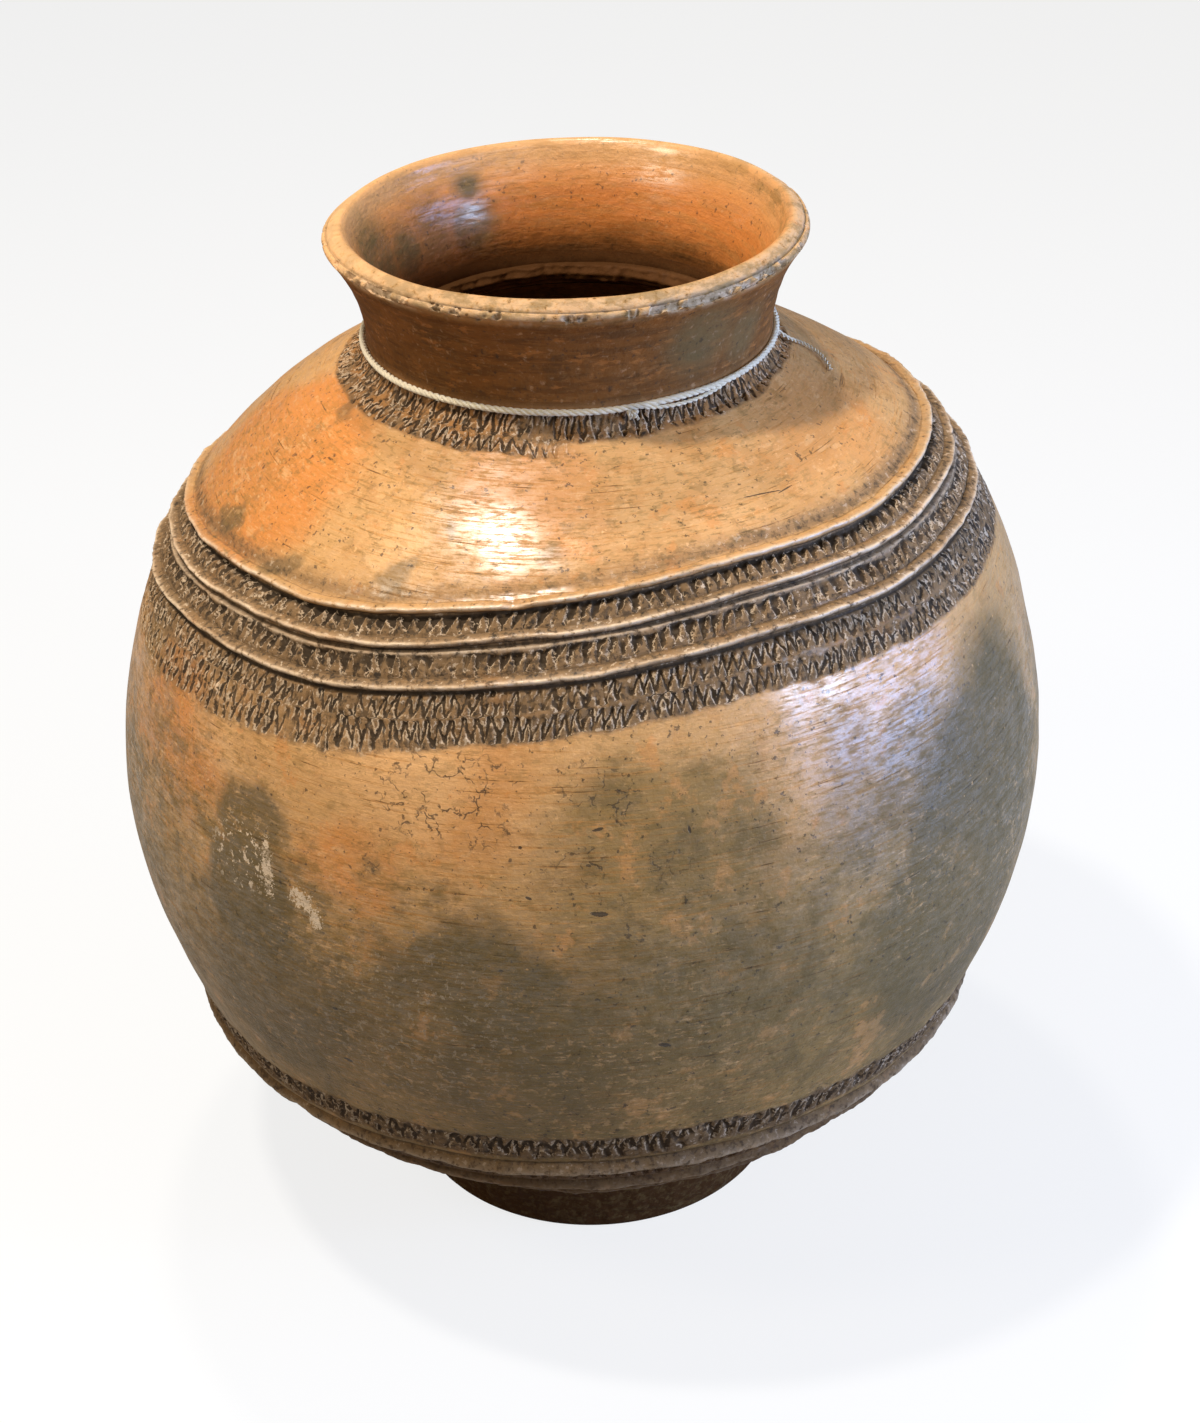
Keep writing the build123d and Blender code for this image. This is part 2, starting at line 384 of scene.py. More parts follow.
    def working(self, polar, side):
        """Depth of the stamping and grooving, and the fields that the clay's colour reads."""
        polar, side = np.broadcast_arrays(polar, side)
        groove = np.zeros(polar.shape)
        stamped = np.zeros(polar.shape)
        fields = {name: np.zeros(polar.shape) for name in FIELDS}
        worked = fields["worked"]
        low, high = polar.min(), polar.max()
        rows = []
        if low < NECK_ZONE_END:
            rows += [(row, polar) for row in NECK_ROWS]
        if low < SHOULDER_ZONE[1] and high > SHOULDER_ZONE[0]:
            tier = self.shoulder_tier(polar, side)
            rows += [(row, tier) for row in SHOULDER_ROWS]
            for crest in SHOULDER_CORDONS.values():
                groove = groove + 1.1 * hump(tier, crest + 0.62, 0.3)
                worked = np.maximum(worked, hump(tier, crest + 0.5, 0.6))
            for line in SCORED_LINES:
                groove = groove + 0.7 * hump(tier, line, 0.13)
            ridge = hump(tier, RIDGE_LINE, 0.25)
            groove = groove + 0.45 * hump(tier, WIPED_LINE, 0.7) - 0.8 * ridge
            aside = 1 - 0.55 * hump(side % 360, 262, 28)
            worked = np.maximum(worked, 0.7 * aside * hump(tier, WIPED_LINE - 0.3, 1.1))
            band = smooth(tier, 49.6, 50.0) * (1 - smooth(tier, 61.0, 61.6))
            worked = np.maximum(worked, 0.85 * band)
            fields["worn"] = 0.5 * ridge
        if high > FOOT_ZONE_START:
            tier = self.foot_tier(polar, side)
            rows += [(row, tier) for row in FOOT_ROWS]
            for crest in FOOT_CORDONS.values():
                groove = groove + 0.7 * (hump(tier, crest - 1.15, 0.3) + hump(tier, crest + 1.15, 0.3))
                worked = np.maximum(worked, hump(tier, crest, 1.5))
        for row, tier in rows:
            cut, here, marks = self.stamps(row, tier, side)
            pressed = np.hypot(marks["turn_x"], marks["turn_y"]) > 0.05
            stamped = np.where(pressed, cut, stamped)
            worked = np.maximum(worked, here)
            for name, values in marks.items():
                fields[name] = np.where(pressed, values, fields[name])
        fields["worked"] = worked
        # Painted shade: the colour darkens in the grooves under the cordon crests and in the stamps.
        fields["recess"] = np.clip((groove + 0.3 * stamped) / 1.5, 0, 1)
        return groove + stamped, fields

    def outside(self, polar, side):
        """Outside radius of the worked globe, with the fields that the clay's colour reads."""
        polar, side = np.broadcast_arrays(polar, side)
        base = self.globe + self.fullness(polar, side)
        spot = self.place(polar, side, self.globe)
        depth, fields = self.working(polar, side)
        base = base + self.lumps * uneven(spot, (1.0, 46, 3), (0.45, 15, 4))
        base = base + fields["worked"] * uneven(spot, (0.2, 1.8, 5), (0.2, 4.5, 6))
        seat = 0.7 * (1 - smooth(polar, self.cove_angle - 0.5, self.cove_angle))
        return base - depth - seat, fields

    def plain(self, polar, side):
        """Outside radius of the globe without stamping, for what rests on it."""
        return self.globe + self.fullness(polar, side)

    def flare(self, depth, angle):
        """A point of the neck's outline (radius, height), so deep in the clay, at an angle up the flare."""
        reach = self.flare_radius + depth
        turn = np.radians(angle)
        return self.neck + self.flare_radius - reach * np.cos(turn), self.cove_z + reach * np.sin(turn)

    def sway(self, points):
        """The slight unevenness of the hand-turned neck towards its rim."""
        up = np.clip((points[..., 2] - self.cove_z) / self.rise, 0, 1.2)
        moved = points.copy()
        moved[..., :2] *= 1 + 0.008 * up[..., None] ** 2
        moved[..., 2] += 0.004 * points[..., 0] * up
        return moved


def strip_faces(first, count, below, below_count):
    """Faces between two neighbouring rings, which may differ three to one, or end in a point."""
    if count == 1 and below_count == 1:
        return []
    small = min(count, below_count)
    if small == 1:
        small = max(count, below_count)
    j = np.arange(small)
    k = (j + 1) % small
    if count == below_count:
        return np.stack([first + j, below + j, below + k, first + k], 1).tolist()
    if below_count == 1:
        return np.stack([first + j, below + 0 * j, first + k], 1).tolist()
    if count == 1:
        return np.stack([first + 0 * j, below + j, below + k], 1).tolist()
    if below_count == 3 * count:
        b = [below + (3 * j + step) % below_count for step in range(4)]
        return (np.stack([first + j, b[0], b[1]], 1).tolist()
                + np.stack([first + j, b[1], b[2], first + k], 1).tolist()
                + np.stack([first + k, b[2], b[3]], 1).tolist())
    if count == 3 * below_count:
        a = [first + (3 * j + step) % count for step in range(4)]
        return (np.stack([a[0], below + j, a[1]], 1).tolist()
                + np.stack([a[1], below + j, below + k, a[2]], 1).tolist()
                + np.stack([a[2], below + k, a[3]], 1).tolist())
    raise ValueError(f"rings of {count} and {below_count} points don't join")


class Skin:
    """A closed skin of rings, laid from the top of the outside down and back up the inside."""

    def __init__(self):
        self.rings = []
        self.fields = {name: [] for name in FIELDS}
        self.sharp = set()

    def ring(self, points, fields=None, sharp=False):
        if sharp:
            self.sharp.add(len(self.rings))
        self.rings.append(points)
        for name, rows in self.fields.items():
            value = (fields or {}).get(name, 0.0)
            rows.append(np.broadcast_to(value, len(points)))

    def rows(self, points, fields=None, sharp_first=False, sharp_last=False):
        last = len(points) - 1
        for i, row in enumerate(points):
            part = {}
            for name, value in (fields or {}).items():
                part[name] = np.broadcast_to(value, points.shape[:2])[i]
            self.ring(row, part, (i == 0 and sharp_first) or (i == last and sharp_last))

    def piece(self, name, material):
        starts = np.cumsum([0] + [len(ring) for ring in self.rings])
        faces = []
        for i, ring in enumerate(self.rings):
            after = (i + 1) % len(self.rings)
            faces += strip_faces(starts[i], len(ring), starts[after], len(self.rings[after]))
        mesh = bpy.data.meshes.new(name)
        mesh.from_pydata((np.concatenate(self.rings) * MM).tolist(), [], faces)
        for field, rows in self.fields.items():
            mesh.attributes.new(field, "FLOAT", "POINT").data.foreach_set("value", np.concatenate(rows))
        mesh.shade_smooth()
        owner = np.repeat(np.arange(len(self.rings)), [len(ring) for ring in self.rings])
        ends = np.zeros(len(mesh.edges) * 2, int)
        mesh.edges.foreach_get("vertices", ends)
        ends = owner[ends].reshape(-1, 2)
        crease = (ends[:, 0] == ends[:, 1]) & np.isin(ends[:, 0], list(self.sharp))
        mesh.attributes.new("sharp_edge", "BOOLEAN", "EDGE").data.foreach_set("value", crease)
        mesh.validate()
        mesh.update()
        mesh.materials.append(material)
        return mesh


def set_piece(context, name, mesh, body, node):
    """Puts a finished mesh in the scene, on its body, in the place of its solid."""
    piece = bpy.data.objects.new(name, mesh)
    context.scene.collection.objects.link(piece)
    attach(piece, body)
    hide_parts(node)
    return piece


def seam_rows(count):
    """Shares of a strip, from 0 to 1, with a short first and last step so that shading runs on."""
    inner = np.linspace(0, 1, count)
    return np.concatenate([[0, 0.12 / count], inner[1:-1], [1 - 0.12 / count, 1]])


def globe_strip(form, skin, top, bottom, count, columns, sharp_first=False, sharp_last=False, end=False):
    """Rows of the globe's outside between two lines, given as polar angles for each column."""
    side = around(columns)
    share = seam_rows(count) if (sharp_first or sharp_last) else np.linspace(0, 1, count)
    if not end and not sharp_last:
        share = share[:-1]
    share = share[:, None]
    polar = top(side) * (1 - share) + bottom(side) * share
    radius, fields = form.outside(polar, side)
    skin.rows(form.place(polar, side, radius), fields, sharp_first, sharp_last)


def globe_inside(form, skin, bottom, top, count):
    """Rows of the hand-wiped inside, from the bottom of a section up to its top."""
    side = around(PLAIN)
    share = np.linspace(0, 1, count)[:, None]
    polar = bottom(side) * (1 - share) + top(side) * share
    spot = form.place(polar, side, form.inside)
    radius = form.inside + 0.5 * clay_noise(spot, 22, 7)
    skin.rows(form.place(polar, side, radius), {"worked": 0.4}, True, True)


def level(angle):
    return lambda side: np.full(np.shape(side), float(angle))


def leaning_line(form, tier):
    return lambda side: form.leaning(tier, side)


# Seams between the globe's sections, as polar angles, and how much higher each one lies inside. The upper
# seam leans with the shoulder cordons.
UPPER_SEAM = SHOULDER_CORDONS["middle"]
WIDEST_SEAM = 90.0
LOWER_SEAM = FOOT_CORDONS["middle"]
SCARF = 2.5
NECK_BAND_END = 29.0
BASE_RIM = 178.6


def base_seam(form):
    return 180 - np.degrees(np.arcsin((form.foot_top + 10) / form.globe))


def shoulder_mesh(form, clay):
    skin = Skin()
    throat = level(np.degrees(np.arcsin(form.throat / form.globe)))
    inner_throat = level(np.degrees(np.arcsin(form.throat / form.inside)))
    cove = level(form.cove_angle - 0.6)
    band_end = level(NECK_BAND_END)
    tiers = (47.0, SHOULDER_CORDONS["upper"], UPPER_SEAM, UPPER_SEAM - SCARF)
    groove, first, seam, inner_seam = (leaning_line(form, tier) for tier in tiers)
    globe_strip(form, skin, throat, cove, 3, PLAIN, sharp_first=True)
    globe_strip(form, skin, cove, band_end, 28, FINE)
    globe_strip(form, skin, band_end, groove, 20, PLAIN)
    globe_strip(form, skin, groove, first, 8, FINE)
    globe_strip(form, skin, first, seam, 20, FINE, sharp_last=True)
    globe_inside(form, skin, inner_seam, inner_throat, 9)
    return skin.piece("shoulder_dome_clay", clay)


def upper_belly_mesh(form, clay):
    skin = Skin()
    tiers = (UPPER_SEAM, 58.2, 66.0, UPPER_SEAM - SCARF)
    seam, row_top, row_end, inner_seam = (leaning_line(form, tier) for tier in tiers)
    globe_strip(form, skin, seam, row_top, 23, FINE, sharp_first=True)
    globe_strip(form, skin, row_top, row_end, 36, FINE)
    globe_strip(form, skin, row_end, level(WIDEST_SEAM), 20, PLAIN, sharp_last=True)
    globe_inside(form, skin, level(WIDEST_SEAM - SCARF), inner_seam, 6)
    return skin.piece("upper_belly_clay", clay)


def lower_belly_mesh(form, clay):
    skin = Skin()
    row_top = level(113.6)
    globe_strip(form, skin, level(WIDEST_SEAM), row_top, 22, PLAIN, sharp_first=True)
    globe_strip(form, skin, row_top, level(LOWER_SEAM), 52, FINE, sharp_last=True)
    globe_inside(form, skin, level(LOWER_SEAM - SCARF), level(WIDEST_SEAM - SCARF), 6)
    return skin.piece("lower_belly_clay", clay)


def lower_bowl_mesh(form, clay):
    skin = Skin()
    row_end = level(137.6)
    base = base_seam(form)
    globe_strip(form, skin, level(LOWER_SEAM), row_end, 34, FINE, sharp_first=True)
    globe_strip(form, skin, row_end, level(base), 14, PLAIN, sharp_last=True)
    globe_inside(form, skin, level(base - SCARF), level(LOWER_SEAM - SCARF), 6)
    return skin.piece("lower_bowl_clay", clay)


def base_mesh(form, clay):
    skin = Skin()
    base = base_seam(form)
    globe_strip(form, skin, level(base), level(BASE_RIM), 14, PLAIN, sharp_first=True, end=True)
    skin.ring(form.place([180.0], [0.0], form.globe))
    skin.ring(form.place([180.0], [0.0], form.inside))
    globe_inside(form, skin, level(BASE_RIM), level(base - SCARF), 10)
    return skin.piece("base_dish_clay", clay)


def turned_rows(radius, height, columns):
    """Rows of points round the jar's axis from an outline of radii and heights."""
    side = np.radians(around(columns))
    radius = np.asarray(radius)[:, None]
    height = np.asarray(height)[:, None] + 0 * side
    return np.stack([radius * np.cos(side), radius * np.sin(side), height], -1)


def outward(points, move):
    """The points moved away from the jar's axis."""
    flat = points[..., :2]
    reach = np.linalg.norm(flat, axis=-1)
    moved = points.copy()
    moved[..., :2] = flat * (1 + move / reach)[..., None]
    return moved


def corner(points, radius, steps):
    """An outline's corner of three points, rounded."""
    before, middle, after = (np.array(point, float) for point in points)
    start = middle + (before - middle) / np.linalg.norm(before - middle) * radius
    end = middle + (after - middle) / np.linalg.norm(after - middle) * radius
    share = np.linspace(0, 1, steps)[:, None]
    return (1 - share) ** 2 * start + 2 * share * (1 - share) * middle + share**2 * end


def run(start, end, steps):
    """Points of a straight part of an outline."""
    share = np.linspace(0, 1, steps)[:, None]
    return np.array(start) * (1 - share) + np.array(end) * share


def foot_mesh(form, clay):
    """The foot, sunk a little into the globe above it."""
    sunk = form.globe - 1.2
    top_angle = np.radians(180) - np.arcsin(form.foot_top / sunk)
    hole_angle = np.radians(180) - np.arcsin(form.foot_hole / sunk)
    top = (form.foot_top, form.centre[2] + sunk * np.cos(top_angle) + 1.5)
    hole_top = (form.foot_hole, form.centre[2] + sunk * np.cos(hole_angle))
    toe = (form.foot, 0.0)
    heel = (form.foot_hole, 0.0)
    toe_corner = corner((top, toe, heel), 2.8, 5)
    heel_corner = corner((toe, heel, hole_top), 2.5, 5)
    outline = np.concatenate([
        run(top, toe_corner[0], 26)[:-1], toe_corner, run(toe_corner[-1], heel_corner[0], 5)[1:-1],
        heel_corner, run(heel_corner[-1], hole_top, 8)[1:]])
    points = turned_rows(outline[:, 0], outline[:, 1], 840)
    rough = uneven(points, (0.9, 30, 21), (0.5, 6, 22), (0.3, 2.4, 23))
    points = outward(points, smooth(points[..., 2], 0, 6) * rough)
    skin = Skin()
    skin.rows(points, {"worked": 0.75}, sharp_first=True, sharp_last=True)
    return skin.piece("foot_ring_clay", clay)


def brushed(points, seed):
    """Fine level ridges left by wiping the turning neck."""
    stretched = points * np.array([0.05, 0.05, 1.0])
    return uneven(stretched, (0.1, 1.6, seed), (0.18, 4.5, seed + 1))


def hand_turned(points, inner):
    """How far the wiped clay of the neck and lip stands out; inner is 0 outside and 1 inside."""
    outside = brushed(points, 31) + 0.5 * clay_noise(points, 38, 33)
    inside = brushed(points, 35) + 0.35 * clay_noise(points, 20, 36)
    return outside * (1 - inner) + inside * inner


def neck_mesh(form, clay):
    skin = Skin()
    columns = FINE
    side = around(columns)
    radius, height = form.flare(0.0, np.linspace(form.lip_seam, 0, 28))
    points = turned_rows(radius, height, columns)
    points = outward(points, hand_turned(points, 0.0))
    skin.rows(form.sway(points), {"worked": 0.12}, sharp_first=True)
    turn = np.radians(np.linspace(0, 90 - form.cove_angle, 14)[1:])
    radius = form.neck + form.cove - form.cove * np.cos(turn)
    rows = turned_rows(radius, form.cove_z - form.cove * np.sin(turn), columns)
    tier = form.cove_angle - (form.cove * (turn[-1] - turn))[:, None] / form.degree
    depth, worked, marks = form.stamps(NECK_ROWS[0], tier, side)
    settle = (turn / turn[-1])[:, None] ** 4
    full = form.fullness(form.cove_angle, side)
    rows = outward(rows, -0.8 * depth + settle * full * np.sin(np.radians(form.cove_angle)))
    rows[..., 2] += settle * (full * np.cos(np.radians(form.cove_angle)) - 0.1)
    # The stamps' depth also paints shade into the colour.
    skin.rows(rows, {"worked": worked, "recess": np.clip(0.2 * depth, 0, 1), **marks}, sharp_last=True)
    seat = form.globe - 2.6
    polar = np.linspace(form.cove_angle + 0.1, np.degrees(np.arcsin(form.throat / seat)), 3)[:, None]
    skin.rows(form.place(polar, side, seat), None, sharp_last=True)
    radius, height = form.flare(form.wall, np.linspace(0, form.lip_seam, 22))
    points = turned_rows(radius, height, columns)
    points = outward(points, hand_turned(points, 1.0))
    skin.rows(form.sway(points), {"worked": 0.05}, sharp_last=True)
    return skin.piece("neck_collar_clay", clay)


# Worn places on the lip: azimuth and width in degrees, strength.
Wear = namedtuple("Wear", "side width strength")
LIP_WEAR = (
    Wear(222, 14, 1.0),
    Wear(300, 17, 0.9),
    Wear(322, 9, 0.6),
    Wear(148, 5, 0.7),
    Wear(262, 12, 0.35),
)


def lip_mesh(form, clay):
    """The lip: up the inside, over the bevel with its incised line, and down the chipped outside."""
    skin = Skin()
    swollen = form.wall + form.lip_swell
    foot_out = form.flare(0.0, form.lip_seam)
    foot_in = form.flare(form.wall, form.lip_seam)
    edge_out = form.flare(0.0, form.flare_angle)
    edge_in = form.flare(swollen, form.flare_angle)
    inner_corner = corner((foot_in, edge_in, edge_out), 5.0, 12)
    outer_corner = corner((edge_in, edge_out, foot_out), 2.0, 6)
    inner_side = run(foot_in, inner_corner[0], 7)[:-1]
    bevel = run(inner_corner[-1], outer_corner[0], 10)[1:-1]
    outer_side = np.stack(form.flare(0.0, np.linspace(form.flare_angle - 1.6, form.lip_seam, 11)), 1)
    outline = np.concatenate([inner_side, inner_corner, bevel, outer_corner, outer_side])
    points = turned_rows(outline[:, 0], outline[:, 1], FINE)
    side = around(FINE)
    step = np.arange(len(outline))[:, None]
    bevel_start = len(inner_side) + len(inner_corner)
    rim_row = bevel_start + len(bevel) + 3
    wear = sum(spot.strength * hump(side, spot.side, spot.width) for spot in LIP_WEAR)
    grit = uneven(points, (0.9, 4.2, 41), (0.8, 1.7, 42))
    chip = hump(step, rim_row, 4.5) * smooth(grit + 1.4 * wear, 0.5, 1.25)
    on_bevel = smooth(step, bevel_start - 9, bevel_start - 2) * (1 - smooth(step, rim_row, rim_row + 4))
    waver = 0.05 * np.sin(np.radians(3 * side)) + 0.04 * np.sin(np.radians(8 * side + 30))
    incised = hump((step - bevel_start) / (rim_row - bevel_start), 0.5 + waver, 0.1)
    inner = 1 - smooth(step, bevel_start - 6, rim_row)
    points = outward(points, hand_turned(points, inner) - 2.5 * chip)
    rise = smooth(step, 0, len(inner_side)) * (1 - smooth(step, rim_row + 6, len(outline) - 1))
    points[..., 2] += 0.5 * rise * clay_noise(points, 30, 45) - 1.8 * chip - 0.9 * incised
    fields = {
        # Painted shade in the incised line and in the chipped hollows.
        "recess": 0.8 * incised + 0.6 * chip * smooth(grit, 0.1, 0.6),
        "worked": np.clip(0.05 + chip, 0, 1),
        "worn": np.clip(0.35 * on_bevel + chip, 0, 1),
    }
    skin.rows(form.sway(points), fields, sharp_first=True, sharp_last=True)
    return skin.piece("lip_coil_clay", clay)


def throat_mesh(form, clay):
    """The coil inside the throat, left rough, its back sunk into the wall."""
    edge_z = form.centre[2] + np.sqrt(form.globe**2 - form.throat**2)
    half = 4.0
    turn = np.radians(np.linspace(-90, 90, 25))
    sunk = [form.throat + 0.6]
    ridged = half * np.cos(turn) + 0.45 * np.cos(6 * turn) * np.cos(turn)
    radius = np.concatenate([sunk, form.throat - ridged, sunk])
    height = np.concatenate([[edge_z - 2 * half], edge_z - half + half * np.sin(turn), [edge_z]])
    points = turned_rows(radius, height, 720)
    inner = (np.abs(np.arange(len(radius)) - 13) < 13)[:, None]
    points = outward(points, inner * uneven(points, (1.5, 9, 51), (0.9, 2.6, 52)))
    skin = Skin()
    skin.rows(points, {"worked": 0.5}, sharp_first=True, sharp_last=True)
    return skin.piece("throat_coil_clay", clay)


# A cordon's section, in millimetres: the places down the wall, the heights out of it, and the wear there.
CordonSection = namedtuple("CordonSection", "down height worn")
SHOULDER_SECTION = CordonSection(
    (-3.6, -3.1, -2.5, -1.8, -1.1, -0.5, 0.0, 0.5, 0.9, 1.2, 1.3),
    (-0.6, 0.25, 0.8, 1.4, 1.95, 2.5, 2.7, 2.4, 1.7, 0.6, -0.9),
    (0.0, 0.0, 0.0, 0.05, 0.2, 0.75, 1.0, 0.8, 0.2, 0.0, 0.0))
FOOT_SECTION = CordonSection(
    (-3.5, -3.1, -2.4, -1.5, -0.6, 0.3, 1.2, 2.1, 2.8, 3.3, 3.5),
    (-0.8, 0.5, 1.6, 2.5, 3.0, 3.1, 2.8, 2.1, 1.2, 0.3, -0.8),
    (0.0, 0.0, 0.1, 0.3, 0.6, 0.6, 0.4, 0.2, 0.1, 0.0, 0.0))
# How dull the upper shoulder cordon is, which was burnished with the shoulder. Then the first cordon's seed,
# and the step from each to the next.
BURNISHED_CORDON = 0.2
CORDON_SEED = 70
CORDON_SEED_STEP = 8


def cordon_mesh(form, node, line, section, worked, seed, clay):
    """An applied roll of clay along a line, pressed on by hand, its back sunk into the wall."""
    side = around(FINE)
    spot = form.place(line, side, form.globe)
    full = 1 + uneven(spot, (0.28, 34, seed), (0.2, 9, seed + 1))
    if node == "upper_shoulder_cordon":
        full = full * (1 - 0.75 * hump(side, 261, 1.6) - 0.3 * hump(side, 250, 2))
    slip = uneven(spot, (0.7, 24, seed + 2), (0.35, 7, seed + 3))
    down, height, wear = (np.array(values)[:, None] for values in section)
    polar = line + (down + slip) / form.degree
    wall = form.plain(polar, side)
    lift = np.where(height > 0, height * full, height)
    points = form.place(polar, side, wall + lift)
    grit = uneven(points, (0.3, 3.0, seed + 4), (0.16, 1.5, seed + 5))
    worn = wear * np.clip(0.8 + 0.6 * clay_noise(points, 12, seed + 6), 0, 1)
    # Painted shade on the cordon's underside and where its foot meets the wall.
    shade = 0.5 * (down > 1.0) + 0.4 * (height < 0.4)
    skin = Skin()
    fields = {"worked": worked * (1 - 0.5 * wear), "worn": worn, "recess": shade}
    skin.rows(form.place(polar, side, wall + lift + grit), fields, True, True)
    back = line + (down.mean() + slip) / form.degree
    skin.ring(form.place(back, side, form.plain(back, side) - 1.6))
    return skin.piece(node + "_clay", clay)


class Socket:
    """A shader socket that takes part in sums; an expression on values adds its Math nodes."""

    def __init__(self, tree, socket=None):
        self.tree = tree
        self.socket = socket

    def node(self, kind, settings, values, output=0):
        """Adds any node: its settings are set first, then its sockets are given values or links."""
        added = self.tree.nodes.new(kind)
        for name, value in settings.items():
            setattr(added, name, value)
        for name, value in values.items():
            if isinstance(value, Socket):
                self.tree.links.new(value.socket, added.inputs[name])
            elif value is not None:
                target = added.inputs[name]
                wide = target.type == "RGBA" and len(value) == 3
                target.default_value = (*value, 1.0) if wide else value
        return Socket(self.tree, added.outputs[output] if added.outputs else None)

    def sum(self, operation, *values):
        return self.node("ShaderNodeMath", {"operation": operation}, dict(enumerate(values)))

    def __add__(self, other):
        return self.sum("ADD", self, other)

    def __radd__(self, other):
        return self.sum("ADD", other, self)

    def __sub__(self, other):
        return self.sum("SUBTRACT", self, other)

    def __rsub__(self, other):
        return self.sum("SUBTRACT", other, self)

    def __mul__(self, other):
        return self.sum("MULTIPLY", self, other)

    def __rmul__(self, other):
        return self.sum("MULTIPLY", other, self)

    def __truediv__(self, other):
        return self.sum("DIVIDE", self, other)

    def step(self, low, high):
        """A soft step from 0 at low to 1 at high."""
        values = {"Value": self, "From Min": low, "From Max": high}
        return self.node("ShaderNodeMapRange", {"interpolation_type": "SMOOTHSTEP"}, values)

    def mix(self, color, other, factor):
        """A colour mixed towards another one."""
        return self.node("ShaderNodeMix", {"data_type": "RGBA"}, {0: factor, 6: color, 7: other}, 2)

    def tint(self, other, factor):
        return self.mix(self, other, factor)

    def vector(self, operation, *values, output=0):
        return self.node("ShaderNodeVectorMath", {"operation": operation}, dict(enumerate(values)), output)

    def noise(self, scale, detail=2.0, roughness=0.5, output=0):
        """Noise at this vector, from 0 to 1."""
        values = {"Vector": self, "Scale": scale, "Detail": detail, "Roughness": roughness}
        return self.node("ShaderNodeTexNoise", {}, values, output)

    def top(self, other):
        return self.sum("MAXIMUM", self, other)


def new_material(name):
    material = bpy.data.materials.new(name)
    material.use_nodes = True
    material.node_tree.nodes.clear()
    return material, Socket(material.node_tree)


def finish_material(net, values):
    shader = net.node("ShaderNodeBsdfPrincipled", {}, values)
    net.node("ShaderNodeOutputMaterial", {}, {"Surface": shader})


def toward(polar, side):
    """A unit vector from the globe's centre, at a polar angle and azimuth in degrees."""
    polar, side = np.radians(polar), np.radians(side)
    flat = np.sin(polar)
    return tuple(float(value) for value in (flat * np.cos(side), flat * np.sin(side), np.cos(polar)))


# Fire clouds and patches: polar angle, azimuth, reach in degrees, softness in degrees, strength.
Patch = namedtuple("Patch", "polar side reach soft strength")
FIRE_CLOUDS = (
    Patch(87, -131, 10, 3, 0.95),
    Patch(77, -131, 6.5, 3, 0.85),
    Patch(100, -128, 13, 8, 0.75),
    Patch(89, -103, 9, 4, 0.85),
    Patch(101, -98, 16, 12, 0.6),
    Patch(80, -32, 16, 8, 0.97),
    Patch(96, -42, 15, 8, 0.85),
    Patch(72, -51, 7, 9, 0.45),
    Patch(68, -46, 6, 4, 0.5),
    Patch(76, -74, 8, 5, 0.35),
    Patch(92, -72, 13, 10, 0.5),
    Patch(66, -58, 5, 4, 0.4),
    Patch(84, 70, 17, 5, 0.85),
    Patch(72, 160, 10, 5, 0.6),
    Patch(97, 25, 13, 8, 0.6),
    Patch(46.0, -158, 2.6, 1.4, 0.8),
    Patch(44.6, -121, 1.6, 1.0, 0.6),
    Patch(45.6, -138, 1.5, 1.0, 0.6),
    Patch(37.5, -115, 1.3, 1.0, 0.6),
    Patch(39.8, -91, 1.2, 1.2, 0.45),
    Patch(29.5, -152, 1.5, 1.2, 0.6),
    Patch(33, 100, 5, 3, 0.45),
)
ORANGE_PATCHES = (
    Patch(39, -163, 15, 6, 1.0),
    Patch(33, -100, 8, 5, 0.55),
    Patch(70, -147, 10, 5, 0.9),
    Patch(78, -118, 5, 4, 0.6),
    Patch(66, -106, 10, 7, 0.45),
    Patch(86, -92, 6, 4, 0.5),
    Patch(88, -114, 4.5, 3, 0.65),
    Patch(45, 120, 16, 7, 0.6),
    Patch(70, 110, 12, 6, 0.5),
    Patch(33, -30, 9, 7, 0.45),
)
BROWN_PATCHES = (
    Patch(73, -80, 11, 7, 0.9),
    Patch(84, -84, 14, 9, 0.9),
    Patch(80, -100, 6, 6, 0.4),
    Patch(88, -58, 18, 12, 0.85),
    Patch(74, -44, 10, 8, 0.6),
    Patch(92, -112, 12, 8, 0.7),
    Patch(62, -160, 5, 4, 0.7),
    Patch(98, 170, 16, 9, 0.6),
    Patch(80, 95, 14, 9, 0.5),
)
# Paler clay, except Patch(40.5, -124), a painted highlight, and Patch(43, -60), painted light on the right
# shoulder.
PALE_AND_LIT_PATCHES = (
    Patch(40.5, -124, 3, 1.6, 0.75),
    Patch(45.5, -116, 1.7, 0.9, 0.4),
    Patch(66, -112, 8, 6, 0.8),
    Patch(66, -138, 5, 5, 0.5),
    Patch(43, -60, 6, 4, 0.4),
)
CRACKED_PATCHES = (
    Patch(68, -106, 7, 5, 1.0),
    Patch(70, -86, 8, 6, 0.9),
    Patch(76, -117, 4, 4, 0.8),
    Patch(80, 120, 14, 8, 0.9),
)
CHIPPED_PATCHES = (
    Patch(80.5, -133, 4.5, 3, 1.0),
    Patch(96, -110, 12, 10, 0.3),
    Patch(75, 40, 8, 6, 0.8),
)
